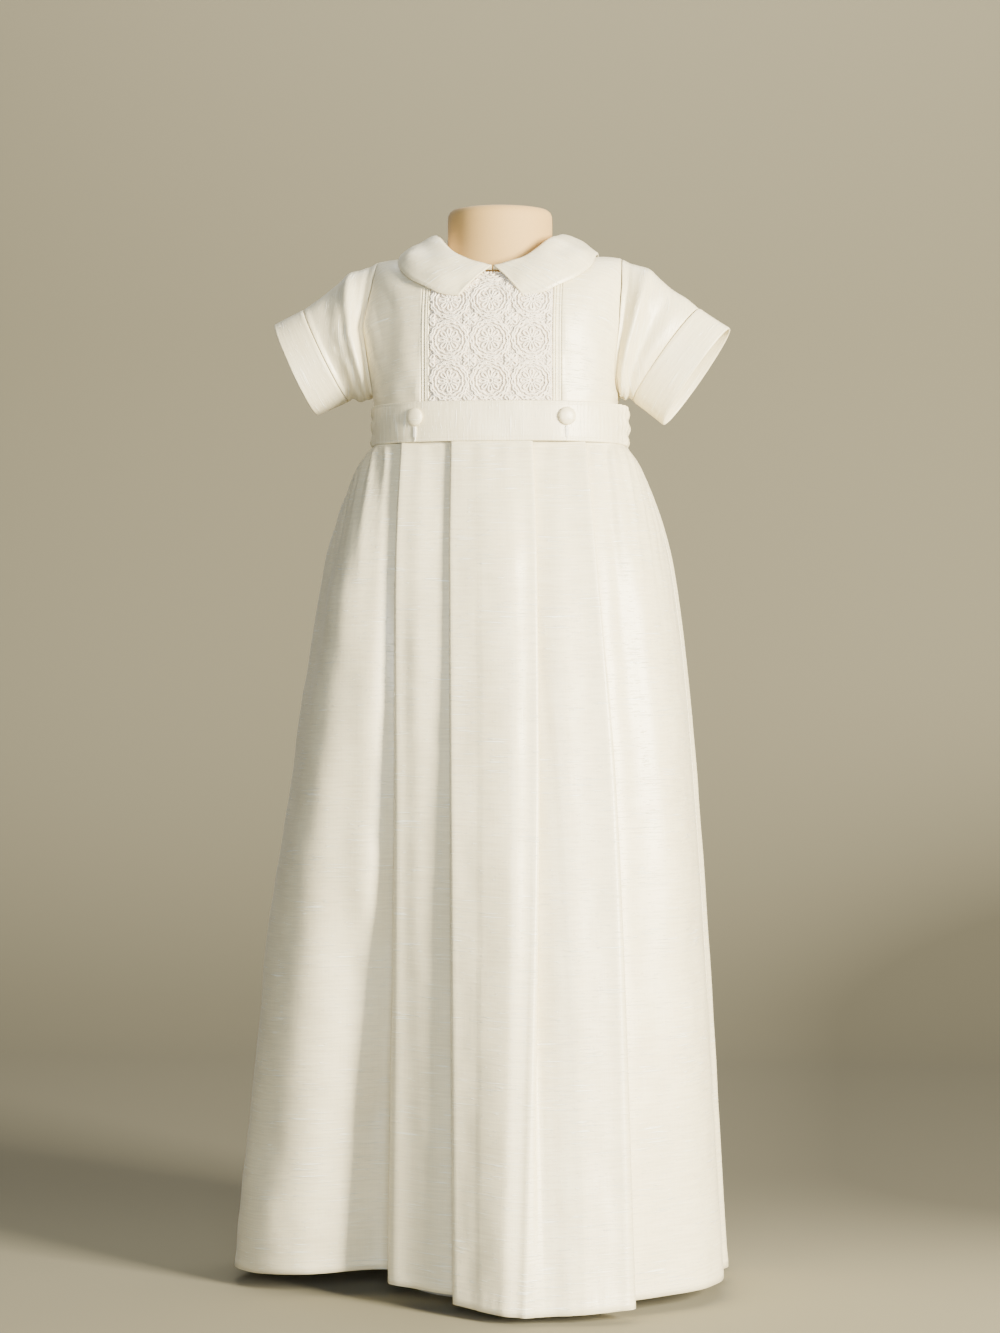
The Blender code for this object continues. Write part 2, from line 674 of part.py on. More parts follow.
def back_ring(z, side, count):
    """Half of the back cloth in plan at height z, from the side seam to the centre back."""
    name = "left" if side > 0 else "right"
    start = line_at(f"{name}_side", z)
    depth = at_height(BACK_DEPTHS, z)
    size = at_height(BACK_FLUTE_SIZE, z)
    half_width = abs(start[0])
    points = []
    for angle in np.linspace(0, math.pi / 2, 121):
        x = half_width * power_of(math.cos(angle), 0.86)
        y = start[1] + (depth - start[1]) * power_of(math.sin(angle), 0.86)
        points.append((side * x, y))
    even = resample(np.array(points), 8 * BACK_FLUTES)
    outwards = inward(even) * (-1 if side < 0 else 1) * -1
    share = np.linspace(0, 1, len(even))
    fade = np.minimum(1.0, np.minimum(share, 1 - share) * 8)
    wave = np.sin(share * math.pi * BACK_FLUTES + 0.4 * np.sin(5 * share)) * size * fade
    moved = resample(even + outwards * wave[:, None], count)
    side_height = HEM_HEIGHTS[f"{name}_side"]
    return with_heights(moved, [side_height, BACK_HEM_Z, BACK_HEM_Z])


def height_rows(ring_at, levels):
    """Rings from the waist to the hem, closer together below the waist."""
    rows = []
    for j in range(levels):
        share = (j / (levels - 1)) ** 1.35
        ring = ring_at(SKIRT_TOP_Z + (HEM_Z - SKIRT_TOP_Z) * share)
        heights = SKIRT_TOP_Z + (ring[:, 2] - SKIRT_TOP_Z) * share
        rows.append(np.column_stack([ring[:, :2], heights]))
    return rows


def make_skirt(finish):
    cloth("skirt_front", height_rows(skirt_front_ring, FLARE_LEVELS), CLOTH, finish)
    for name, side in (("left", 1), ("right", -1)):
        rows = height_rows(lambda z, side=side: back_ring(z, side, 25), BACK_LEVELS)
        rows = [row + (side * 0.2, 0.9, 0.0) for row in rows]
        cloth(f"skirt_back_{name}", rows, CLOTH, finish)


# The romper's lower half, hidden by the skirt


ROMPER_SECTIONS = (
    # z, half width, half depth
    (584.6, 78.5, 57.5),
    (565.0, 82.5, 60.5),
    (530.0, 88.0, 67.0),
    (485.0, 89.0, 69.0),
    (445.0, 86.0, 67.0),
)


def romper_rows(back):
    """A short bloomer with its crotch undone: a side seam each side and a tab in the middle."""
    rows = []
    for z, half_width, half_depth in ROMPER_SECTIONS:
        row = []
        for turn in np.linspace(-90, 90, 23):
            angle = math.radians(turn)
            x = half_width * power_of(math.sin(angle), 2 / PLAN_POWER)
            y = half_depth * power_of(math.cos(angle), 2 / PLAN_POWER) + SHOULDER_FLAT
            low = (584.6 - z) / (584.6 - 445.0)
            tab = 38.0 * low ** 3 * math.exp(-((x / 26.0) ** 4))
            row.append((x, y if back else -y, z - tab))
        rows.append(row)
    return rows


def make_romper_lower(finish):
    cloth("romper_lower_front", romper_rows(False), CLOTH, finish)
    cloth("romper_lower_back", romper_rows(True), CLOTH, finish)


# The dress form and its stand


FORM_SECTIONS = (
    # z, half width, half depth
    (440.0, 52.0, 36.0),
    (441.5, 62.0, 46.0),
    (448.0, 71.0, 54.0),
    (465.0, 78.0, 60.0),
    (500.0, 81.5, 63.0),
    (545.0, 79.5, 58.0),
    (584.0, 75.0, 53.5),
)
FORM_INSET = -BODICE_CLOTH - 2.5
FORM_NARROW = 0.965


def form_ring(points_at, count):
    """A closed ring from the front right round to the back, with matching front and back points."""
    turns = np.linspace(-90, 90, count)
    front = [points_at(t, False) for t in turns]
    back = [points_at(t, True) for t in turns[::-1][1:-1]]
    return front + back


def make_form(finish):
    count = 19
    rings = []
    for z, half_width, half_depth in FORM_SECTIONS:
        def at(turn, back, z=z, a=half_width, b=half_depth):
            angle = math.radians(turn)
            y = b * abs(math.cos(angle)) ** (2 / PLAN_POWER)
            return (a * power_of(math.sin(angle), 2 / PLAN_POWER), y if back else -y, z)
        rings.append(form_ring(at, count))
    for rise in (0.06, 0.22, 0.42, 0.52, 0.62, 0.72, 0.81, 0.89, 0.95):
        def at(turn, back, rise=rise):
            x, y, z = torso_point(turn, rise, FORM_INSET)
            y = min(0.0, y + SHOULDER_FLAT)
            return (x * FORM_NARROW, -y if back else y, z)
        rings.append(form_ring(at, count))
    rings = np.array(rings) * MM
    shape = bmesh.new()
    points = [[shape.verts.new(p) for p in ring] for ring in rings]
    size = len(points[0])
    for j in range(len(points) - 1):
        for i in range(size):
            k = (i + 1) % size
            shape.faces.new((points[j][i], points[j][k], points[j + 1][k], points[j + 1][i]))
    for ring, order in ((points[0], -1), (points[-1], 1)):
        for i in range(count - 1):
            corners = [ring[i], ring[i + 1], ring[(size - i - 1) % size], ring[(size - i) % size]]
            unique = list(dict.fromkeys(corners))
            shape.faces.new(unique[::order])
    mesh = bpy.data.meshes.new("form_body")
    shape.to_mesh(mesh)
    shape.free()
    mesh.shade_smooth()
    body = add_object("form_body", mesh, finish)
    neck = turned(
        "neck_blank",
        [
            (NECK_RADIUS - 5.0, NECK_TOP_Z), (NECK_RADIUS - 1.5, NECK_TOP_Z - 1.5),
            (NECK_RADIUS, NECK_TOP_Z - 5.0), (NECK_RADIUS, 722.0), (NECK_RADIUS + 1.5, 716.0),
            (NECK_RADIUS + 3.0, 710.0), (NECK_RADIUS + 3.0, 690.0),
        ],
        finish, steps=36, collection=cutters,
    )
    neck.hide_render = True
    neck.display_type = "WIRE"
    join = body.modifiers.new("neck", "BOOLEAN")
    join.operation = "UNION"
    join.object = neck
    return body


def make_stand(steel):
    turned(
        "stand_base",
        [
            (BASE_RADIUS - 1.5, BASE_THICK), (BASE_RADIUS, BASE_THICK - 1.5), (BASE_RADIUS, 0.0),
        ],
        steel, steps=48,
    )
    turned(
        "stand_pole",
        [
            (POLE_RADIUS, FORM_BOTTOM_Z - SEAM), (POLE_RADIUS, 32.0), (POLE_RADIUS + 5.0, 30.0),
            (POLE_RADIUS + 8.0, BASE_THICK + SEAM),
        ],
        steel, steps=24,
    )


def main():
    start_scene()
    shantung = material("shantung", WHITE, 0.5)
    lace_finish = material("lace", LACE_WHITE, 0.8)
    jersey = material("jersey", JERSEY, 0.85)
    steel = material("steel", STEEL, 0.35, 1.0)
    make_form(jersey)
    make_stand(steel)
    make_bodice(shantung, lace_finish)
    make_collar(shantung)
    make_sleeves(shantung)
    make_bands(shantung)
    make_buttons(shantung)
    make_skirt(shantung)
    make_romper_lower(shantung)


main()
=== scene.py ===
import math

import bpy
import numpy as np
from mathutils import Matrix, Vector


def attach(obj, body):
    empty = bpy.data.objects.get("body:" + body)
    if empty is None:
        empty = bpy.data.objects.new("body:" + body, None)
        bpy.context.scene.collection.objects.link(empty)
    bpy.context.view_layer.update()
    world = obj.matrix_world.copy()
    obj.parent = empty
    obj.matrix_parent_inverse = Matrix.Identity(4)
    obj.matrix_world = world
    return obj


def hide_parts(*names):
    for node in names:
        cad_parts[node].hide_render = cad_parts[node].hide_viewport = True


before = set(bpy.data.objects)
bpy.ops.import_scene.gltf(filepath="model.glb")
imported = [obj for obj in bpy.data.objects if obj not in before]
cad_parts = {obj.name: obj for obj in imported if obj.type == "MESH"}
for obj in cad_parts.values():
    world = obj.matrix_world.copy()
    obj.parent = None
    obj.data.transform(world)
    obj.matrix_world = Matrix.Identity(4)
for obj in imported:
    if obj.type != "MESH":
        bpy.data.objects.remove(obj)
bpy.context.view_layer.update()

# Lengths are millimetres until a mesh is made. The front faces -Y and the wearer's left is +X.
# On the bodice a turn is degrees from straight ahead, and a rise runs from the lower edge (0) to the
# crest of the shoulder (1).
MM = 0.001
BODY = "root"

HEM_Z = 8.0
BACK_HEM_Z = 9.0
SKIRT_TOP_Z = 584.2
BAND_BOTTOM_Z = 584.5
BAND_TOP_Z = 612.0
BODICE_BOTTOM_Z = 604.0
ARCH_Z = 650.0
SHOULDER_NECK_Z = 718.0
SHOULDER_TIP_DROP = 3.5
UNDERARM_Z = 620.0
NECK_TOP_Z = 750.0

WAIST_HALF_WIDTH = 86.5
CHEST_HALF_WIDTH = 89.0
HALF_DEPTH = 65.5
PLAN_POWER = 2.5
ARCH_POWER = 2.3
STRAIGHT_SHARE = 0.42
SHOULDER_TIP_X = 85.0
ARMHOLE_TURN = 70.0
ARMHOLE_ROUND = 0.3
SHOULDER_FLAT = 0.2

NECKLINE_HALF_WIDTH = 44.5
NECKLINE_FRONT = 47.0
NECKLINE_BACK = 45.0
COLLAR_SEAM_RADIUS = 43.6
COLLAR_SEAM_CLEAR = 0.9
COLLAR_CLEAR = 1.9
NECK_RADIUS = 36.5

LACE_HALF_WIDTH = 42.3
TUCK_OUTER_X = 48.0

BUTTON_RADIUS = 6.2
BUTTON_HEIGHT = 3.6
BUTTON_Z = 601.5
BUTTON_X = 52.0

COLLAR_EDGE = (
    # around, x, z
    (0, 22.0, 683.0),
    (20, 34.0, 684.8),
    (40, 45.6, 690.0),
    (58, 59.4, 697.6),
    (75, 67.8, 707.5),
    (90, 69.2, 716.6),
    (110, 65.0, 707.0),
    (135, 50.0, 696.0),
    (158, 28.0, 690.0),
    (180, 1.2, 688.0),
)
COLLAR_STAND = (
    # around, height
    (0, 1.6),
    (30, 5.0),
    (60, 10.0),
    (90, 13.0),
    (130, 14.5),
    (180, 14.0),
)
SLEEVES = {
    "left": dict(
        side=1, seam_top=(139.0, 679.0), seam_bottom=(93.5, 617.0),
        end_top=(160.6, 664.8), end_bottom=(114.6, 600.0), half_depth=19.0, back_drop=0.2,
    ),
    "right": dict(
        side=-1, seam_top=(138.0, 681.6), seam_bottom=(107.0, 618.0),
        end_top=(159.0, 671.0), end_bottom=(130.0, 608.5), half_depth=26.0, back_drop=0.0,
    ),
}
LEVELS_Z = (584.2, 570.0, 500.0, 330.0, 8.0)
SKIRT_LINES = {
    # line: x and y at each height; at the waist the band's own section replaces y
    "right_side": ((-87.8, 6.0), (-98.5, 6.0), (-125.0, 8.0), (-149.0, 14.0), (-182.5, 24.0)),
    "right_edge": ((-86.8, -14.0), (-97.5, -15.0), (-122.5, -20.0), (-147.5, -20.0), (-183.0, -12.0)),
    "right_panel": ((-77.5, -36.5), (-84.5, -43.0), (-99.0, -61.0), (-114.0, -64.0), (-132.0, -53.0)),
    "outer_right": ((-61.5, -54.5), (-61.0, -62.0), (-61.0, -84.0), (-59.0, -94.0), (-61.0, -93.0)),
    "inner_right": ((-25.6, -65.5), (-25.0, -72.0), (-23.0, -95.0), (-19.5, -114.0), (-16.0, -128.0)),
    "centre": ((1.5, -67.0), (2.0, -74.0), (5.0, -98.5), (8.0, -119.0), (9.0, -142.0)),
    "inner_left": ((27.6, -65.5), (29.0, -72.0), (33.5, -95.0), (36.5, -120.0), (32.0, -151.0)),
    "outer_left": ((63.0, -54.0), (65.0, -61.0), (73.0, -84.0), (87.0, -106.0), (98.5, -132.0)),
    "left_panel": ((78.5, -35.0), (86.0, -42.0), (103.0, -56.0), (120.0, -70.0), (134.0, -77.0)),
    "left_edge": ((86.8, -14.0), (95.5, -15.0), (117.0, -18.0), (135.0, -24.0), (155.0, -38.0)),
    "left_side": ((87.8, 6.0), (96.5, 6.0), (118.5, 8.0), (136.0, 8.0), (154.0, 4.0)),
}
HEM_HEIGHTS = {
    "right_side": 10.0, "right_edge": 11.0, "right_panel": 16.0, "outer_right": 14.0,
    "inner_right": 8.5, "centre": 6.5, "inner_left": 5.0, "outer_left": 8.0, "left_panel": 10.0,
    "left_edge": 11.0, "left_side": 10.5,
}
LOWER_HEM_HEIGHTS = {"outer_right": 17.0, "inner_right": 11.0, "inner_left": 5.5, "outer_left": 9.0}
PLEATS = {
    "outer_right": dict(
        gap=(2.2, 2.4, 3.0, 8.0, 19.0), under=(16.0, 18.0, 18.0, 18.0, 16.0), open=(0, 0, 0, 0, 0),
    ),
    "inner_right": dict(
        gap=(2.2, 2.4, 2.6, 4.5, 9.0), under=(16.0, 18.0, 20.0, 20.0, 18.0), open=(0, 0, 0, 0, 0),
    ),
    "inner_left": dict(
        gap=(2.2, 2.4, 2.6, 3.0, 3.0), under=(16.0, 18.0, 20.0, 20.0, 20.0), open=(0, 0, 0, 0.4, 1.0),
    ),
    "outer_left": dict(
        gap=(2.2, 2.4, 2.6, 6.0, 12.0), under=(16.0, 18.0, 18.0, 18.0, 16.0), open=(0, 0, 0, 0, 0),
    ),
}
OPEN_OUT = 11.0
OPEN_IN = 9.0
VALLEY_KNOTS = (0.04, 0.08, 0.2)
BACK_DEPTHS = (66.0, 74.0, 96.0, 122.0, 150.0)
BACK_POWER = 0.86
BACK_FLUTES = 9
BACK_FLUTE_SIZE = (0.8, 2.0, 3.6, 5.0, 9.0)
ROMPER_SECTIONS = (
    # z, half width, half depth
    (584.6, 78.5, 57.5),
    (565.0, 82.5, 60.5),
    (530.0, 88.0, 67.0),
    (485.0, 89.0, 69.0),
    (445.0, 86.0, 67.0),
)


# Curves and surfaces, as the solids are cut


def power_of(value, power):
    return math.copysign(abs(value) ** power, value)


def smooth_value(places, values, at):
    order = np.argsort(places)
    x = np.asarray(places, float)[order]
    y = np.asarray(values, float)[order]
    step = np.diff(x)
    slope = np.diff(y) / step
    tangent = np.concatenate([[slope[0]], np.zeros(len(x) - 2), [slope[-1]]])
    for i in range(1, len(x) - 1):
        if slope[i - 1] * slope[i] > 0:
            w1 = 2 * step[i] + step[i - 1]
            w2 = step[i] + 2 * step[i - 1]
            tangent[i] = (w1 + w2) / (w1 / slope[i - 1] + w2 / slope[i])
    at = min(max(at, x[0]), x[-1])
    i = min(int(np.searchsorted(x, at, side="right")) - 1, len(x) - 2)
    t = (at - x[i]) / step[i]
    return float(
        (1 + 2 * t) * (1 - t) ** 2 * y[i] + t * (1 - t) ** 2 * step[i] * tangent[i]
        + t * t * (3 - 2 * t) * y[i + 1] + t * t * (t - 1) * step[i] * tangent[i + 1]
    )


def interpolate(table, at):
    places = [row[0] for row in table]
    return [smooth_value(places, [row[k] for row in table], at) for k in range(1, len(table[0]))]


def resample(line, count):
    line = np.asarray(line, float)
    along = np.concatenate([[0], np.cumsum(np.linalg.norm(np.diff(line, axis=0), axis=1))])
    at = np.linspace(0, along[-1], count)
    return np.stack([np.interp(at, along, line[:, k]) for k in range(line.shape[1])], axis=1)


def curve_through(points, count):
    p = np.asarray(points, float)
    gaps = np.linalg.norm(np.diff(p, axis=0), axis=1)
    slopes = np.diff(p, axis=0) / gaps[:, None]
    inner = (slopes[:-1] * gaps[1:, None] + slopes[1:] * gaps[:-1, None]) / (gaps[:-1] + gaps[1:])[:, None]
    tangents = np.vstack([slopes[:1], inner, slopes[-1:]])
    t = np.linspace(0, 1, 16, endpoint=False)[:, None]
    fine = []
    for i, gap in enumerate(gaps):
        fine.append(
            (1 + 2 * t) * (1 - t) ** 2 * p[i] + t * (1 - t) ** 2 * gap * tangents[i]
            + t * t * (3 - 2 * t) * p[i + 1] + t * t * (t - 1) * gap * tangents[i + 1]
        )
    fine.append(p[-1:])
    return resample(np.vstack(fine), count)


def chest_half_width(z):
    share = min(max((z - BAND_TOP_Z) / (ARCH_Z - BAND_TOP_Z), 0.0), 1.0)
    return WAIST_HALF_WIDTH + (CHEST_HALF_WIDTH - WAIST_HALF_WIDTH) * share


def rise_height(rise):
    if rise <= STRAIGHT_SHARE:
        return BODICE_BOTTOM_Z + (ARCH_Z - BODICE_BOTTOM_Z) * rise / STRAIGHT_SHARE, 0.0
    return ARCH_Z, math.radians(90.0) * (rise - STRAIGHT_SHARE) / (1 - STRAIGHT_SHARE)


def shoulder_height(x):
    return SHOULDER_NECK_Z - SHOULDER_TIP_DROP * (x / SHOULDER_TIP_X) ** 2


def torso_point(turn, rise, grow=0.0, back=False):
    z, lift = rise_height(rise)
    half_width = chest_half_width(z) + grow
    angle = math.radians(turn)
    x = half_width * power_of(math.sin(angle), 2 / PLAN_POWER)
    depth = (HALF_DEPTH + grow) * abs(math.cos(angle)) ** (2 / PLAN_POWER)
    depth *= max(math.cos(lift), 0.0) ** (2 / ARCH_POWER)
    if lift > 0:
        crest = shoulder_height(x) + grow - ARCH_Z
        z = ARCH_Z + crest * math.sin(lift) ** (2 / ARCH_POWER)
    y = depth + SHOULDER_FLAT
    return np.array([x, y if back else -y, z])


def turn_at(x, rise, grow=0.0):
    half_width = chest_half_width(rise_height(rise)[0]) + grow
    return math.degrees(math.asin(min(1.0, abs(x) / half_width) ** (PLAN_POWER / 2)))


def rise_at_depth(x, depth):
    full = HALF_DEPTH * (1 - min(1.0, abs(x) / CHEST_HALF_WIDTH) ** PLAN_POWER) ** (1 / PLAN_POWER)
    share = min(1.0, max(0.0, depth / full)) ** (ARCH_POWER / 2)
    return STRAIGHT_SHARE + (1 - STRAIGHT_SHARE) * math.acos(share) / math.radians(90.0)


def rise_at_height(x, z):
    share = min(1.0, max(0.0, (z - ARCH_Z) / (shoulder_height(x) - ARCH_Z)))
    return STRAIGHT_SHARE + (1 - STRAIGHT_SHARE) * math.asin(share ** (ARCH_POWER / 2)) / math.radians(90.0)


def neckline_rise(x, back):
    reach = NECKLINE_BACK if back else NECKLINE_FRONT
    inside = 1 - (x / NECKLINE_HALF_WIDTH) ** 2
    return rise_at_depth(x, reach * math.sqrt(inside)) if inside > 0 else 1.0


UNDERARM_RISE = STRAIGHT_SHARE * (UNDERARM_Z - BODICE_BOTTOM_Z) / (ARCH_Z - BODICE_BOTTOM_Z)


def armhole_turn(rise):
    climbed = min(max((rise - UNDERARM_RISE) / ARMHOLE_ROUND, 0.0), 1.0)
    return 90.0 - (90.0 - ARMHOLE_TURN) * math.sqrt(1 - (1 - climbed) ** 2)


ARMHOLE_SHIFTS = {
    # side: the heights of the armhole seam and how far it hangs outwards there
    1: dict(z=(606, 618, 640, 667, 695, 716), out=(-5.0, -4.5, -2.5, 0.5, 2.0, 1.0)),
    -1: dict(z=(606, 618, 640, 667, 695, 716), out=(0.0, 0.6, 4.5, 8.0, 3.0, 0.0)),
}


def armhole_shift(side, z):
    table = ARMHOLE_SHIFTS[side]
    return side * np.interp(z, table["z"], table["out"])


def bodice_patch(inner_x, outer_x, side, back, across, up, grow):
    """A bodice panel as (up, across, 3), from inner_x to outer_x or, with None, to the armhole."""
    rows = []
    for share in np.linspace(0, 1, up):
        row = []
        inner = turn_at(inner_x, share)
        outer = armhole_turn(share) if outer_x is None else turn_at(outer_x, share)
        for t in np.linspace(0, 1, across):
            turn = inner * (1 - t) + outer * t
            x = torso_point(turn, share, grow)[0]
            point = torso_point(turn, share * neckline_rise(x, back), grow, back)
            row.append((point[0] * side, point[1], point[2]))
        rows.append(row)
    return np.array(rows)


def waist_point(turn, z, grow):
    angle = math.radians(turn)
    x = (WAIST_HALF_WIDTH + grow) * power_of(math.sin(angle), 2 / PLAN_POWER)
    y = -(HALF_DEPTH + grow) * power_of(math.cos(angle), 2 / PLAN_POWER)
    return (x, y, z)


def front_depth_at(x, grow):
    share = min(1.0, abs(x) / (WAIST_HALF_WIDTH + grow)) ** PLAN_POWER
    return (HALF_DEPTH + grow) * (1 - share) ** (1 / PLAN_POWER)


def collar_row(around, side, back_gap, out_places):
    """One section of a collar half: up the stand, over the roll and down the fall."""
    angle = math.radians(around)
    back = around > 90
    seam_x = max(COLLAR_SEAM_RADIUS * math.sin(angle), back_gap)
    reach = (NECKLINE_BACK if back else NECKLINE_FRONT) - 0.9
    seam_rise = rise_at_depth(seam_x, reach * abs(math.cos(angle)))
    edge_x, edge_z = interpolate(COLLAR_EDGE, around)
    edge_rise = rise_at_height(edge_x, edge_z)
    seam_v = 2 - seam_rise if back else seam_rise
    edge_v = 2 - edge_rise if back else edge_rise
    stand = interpolate(COLLAR_STAND, around)[0]
    row = [(seam_x, seam_v, COLLAR_SEAM_CLEAR + (COLLAR_CLEAR + stand * 0.5 - COLLAR_SEAM_CLEAR) * t)
           for t in (0.0, 0.25, 0.5, 0.75, 1.0)]
    for out in out_places:
        x = seam_x + (edge_x - seam_x) * out
        v = seam_v + (edge_v - seam_v) * out
        row.append((x, v, COLLAR_CLEAR + 0.3 + stand * (1 - out ** 1.8)))
    points = []
    for x, v, grow in row:
        over = v > 1
        rise = 2 - v if over else v
        point = torso_point(turn_at(x, rise, grow), rise, grow, over)
        points.append((side * point[0], point[1], point[2]))
    return points


ARMHOLE_SINK = -0.6


def armhole_ring(side, count, clear):
    rises = np.linspace(1.0, UNDERARM_RISE, 90)
    front = [torso_point(armhole_turn(r), r, ARMHOLE_SINK) for r in rises]
    back = [torso_point(armhole_turn(r), r, ARMHOLE_SINK, True) for r in rises[::-1]]
    ring = resample(np.array(front + back), count + 1)[:-1]
    ring[:, 0] = side * (ring[:, 0] + clear)
    return ring


CUFF_POWER = 0.9


def cuff_ring(side, top, bottom, half_depth, back_drop, count):
    top, bottom = np.array(top, float), np.array(bottom, float)
    middle, reach = (top + bottom) / 2, (top - bottom) / 2
    ring = []
    for angle in np.linspace(0, 2 * math.pi, 361):
        depth = -power_of(math.sin(angle), CUFF_POWER) * half_depth
        x, z = middle + reach * math.cos(angle)
        ring.append((side * x, depth, z - back_drop * depth))
    return resample(np.array(ring), count + 1)[:-1]


def at_height(values, z):
    return smooth_value(LEVELS_Z, values, z)


def line_at(name, z):
    line = list(SKIRT_LINES[name])
    x, y = line[0]
    if y < -20:
        line[0] = (x, -front_depth_at(x, 1.2))
    return np.array([at_height([p[k] for p in line], z) for k in (0, 1)])


def inward(curve):
    ahead = np.gradient(curve, axis=0)
    ahead /= np.linalg.norm(ahead, axis=1)[:, None]
    return np.stack([-ahead[:, 1], ahead[:, 0]], axis=1)


def half_turn(start, stop, direction, count):
    middle, reach = (start + stop) / 2, (start - stop) / 2
    radius = np.linalg.norm(reach)
    angles = np.linspace(0, math.pi, count + 2)[1:-1]
    return [middle + reach * math.cos(a) + direction * radius * math.sin(a) for a in angles]


def ring_rows(points, heights, panel):
    """(x, y, hem height, place across the panel, panel's number) for each point."""
    places = np.linspace(0, len(points) - 1, len(heights))
    hem = np.interp(range(len(points)), places, heights)
    along = np.concatenate([[0], np.cumsum(np.linalg.norm(np.diff(points, axis=0), axis=1))])
    return np.column_stack([points, hem, along, np.full(len(points), panel)])


CENTRE_COUNT, TURN_COUNT, RETURN_COUNT, INNER_COUNT, OUTER_COUNT = 26, 4, 7, 26, 50
# A panel's number is 0 in the centre, 1 and 2 to the wearer's left, -1 and -2 to the right, and 5 or
# -5 behind.
IN_A_PLEAT = 9


def skirt_front_ring(z):
    """The skirt front in plan at height z, from the right side seam to the left one."""
    names = ("inner_right", "centre", "inner_left")
    centre = curve_through([line_at(n, z) for n in names], CENTRE_COUNT)
    centre = ring_rows(centre, [HEM_HEIGHTS[n] for n in names], 0)
    right = side_of_front(z, centre, "right")
    left = side_of_front(z, centre[::-1], "left")
    return np.vstack([right[::-1], centre[1:-1], left])


def side_of_front(z, centre, name):
    upper = centre[:, :2]
    rows = []
    for order, (pleat, nexts) in enumerate((
        (f"inner_{name}", [f"outer_{name}"]),
        (f"outer_{name}", [f"{name}_panel", f"{name}_edge", f"{name}_side"]),
    )):
        gap = at_height(PLEATS[pleat]["gap"], z)
        under = at_height(PLEATS[pleat]["under"], z)
        swing = at_height(PLEATS[pleat]["open"], z)
        along = np.concatenate([[0], np.cumsum(np.linalg.norm(np.diff(upper, axis=0), axis=1))])
        stretch = np.stack(
            [np.interp(np.linspace(0, under, RETURN_COUNT), along, upper[:, k]) for k in (0, 1)], axis=1)
        inwards = inward(stretch) * (-1 if name == "left" else 1)
        back_layer = stretch + inwards * gap
        lower = stretch + inwards * 2 * gap
        outwards = -(stretch[1] - stretch[0]) / np.linalg.norm(stretch[1] - stretch[0])
        tip = (stretch[-1] - stretch[-2]) / np.linalg.norm(stretch[-1] - stretch[-2])
        closed = [upper[0]] + half_turn(upper[0], back_layer[0], outwards, TURN_COUNT)
        closed += list(back_layer) + half_turn(back_layer[-1], lower[-1], tip, TURN_COUNT)
        closed = np.array(closed)
        valley = upper[0] + outwards * OPEN_OUT + inwards[0] * OPEN_IN
        opened = np.array([upper[0] * (1 - t) + valley * t for t in np.linspace(0, 1, len(closed))])
        fold = closed * (1 - swing) + opened * swing
        rows.append(ring_rows(fold, [HEM_HEIGHTS[pleat], LOWER_HEM_HEIGHTS[pleat]], IN_A_PLEAT))
        third = RETURN_COUNT // 2
        knots = [lower[-1], lower[third], lower[1]]
        first = line_at(nexts[0], z)
        free = [valley + (first - valley) * t for t in VALLEY_KNOTS]
        knots = [k * (1 - swing) + f * swing for k, f in zip(knots, free)]
        knots += [line_at(n, z) for n in nexts]
        panel = curve_through(knots, INNER_COUNT if len(nexts) == 1 else OUTER_COUNT)
        heights = [LOWER_HEM_HEIGHTS[pleat]] + [HEM_HEIGHTS[n] for n in nexts]
        sign = 1 if name == "left" else -1
        made = ring_rows(panel, heights, sign * (order + 1))
        rows.append(made[:-1])
        upper = panel[::-1]
    rows.append(made[-1:])
    return np.vstack(rows)


def back_ring(z, side, count):
    name = "left" if side > 0 else "right"
    start = line_at(f"{name}_side", z)
    depth = at_height(BACK_DEPTHS, z)
    size = at_height(BACK_FLUTE_SIZE, z)
    half_width = abs(start[0])
    points = []
    for angle in np.linspace(0, math.pi / 2, 161):
        x = half_width * power_of(math.cos(angle), BACK_POWER)
        y = start[1] + (depth - start[1]) * power_of(math.sin(angle), BACK_POWER)
        points.append((side * x, y))
    even = resample(np.array(points), 16 * BACK_FLUTES)
    outwards = inward(even) * -side
    share = np.linspace(0, 1, len(even))
    fade = np.minimum(1.0, np.minimum(share, 1 - share) * 8)
    wave = np.sin(share * math.pi * BACK_FLUTES + 0.4 * np.sin(5 * share)) * size * fade
    moved = resample(even + outwards * wave[:, None], count)
    return ring_rows(moved, [HEM_HEIGHTS[f"{name}_side"], BACK_HEM_Z, BACK_HEM_Z], 5 * side)


# Small shapes that make cloth look like cloth


def bump_at(value, centre, width):
    return np.exp(-(((value - centre) / width) ** 2))


def soft_step(value, low, high):
    t = np.clip((value - low) / (high - low), 0, 1)
    return t * t * (3 - 2 * t)


def ripple(a, b, seed, scale):
    """A smooth, uneven surface value of about -1 to 1, over lengths of about scale."""
    total = 0.0
    for k in range(5):
        angle = 2.4 * k + seed
        size = scale * (0.7 + 0.25 * k)
        phase = 3.7 * k * (seed + 1.3)
        total = total + np.sin(
            (a * np.cos(angle) + b * np.sin(angle)) * 2 * math.pi / size + phase
            + 1.3 * np.sin((b * np.cos(angle) - a * np.sin(angle)) * 2 * math.pi / (size * 1.9) + seed)
        )
    return total / 3.2


def lengths(grid):
    """Distances along the rows and up the columns of a grid of points."""
    across = np.linalg.norm(np.diff(grid, axis=1), axis=2)
    up = np.linalg.norm(np.diff(grid, axis=0), axis=2)
    across = np.concatenate([np.zeros((grid.shape[0], 1)), np.cumsum(across, axis=1)], axis=1)
    up = np.concatenate([np.zeros((1, grid.shape[1])), np.cumsum(up, axis=0)], axis=0)
    return across, up


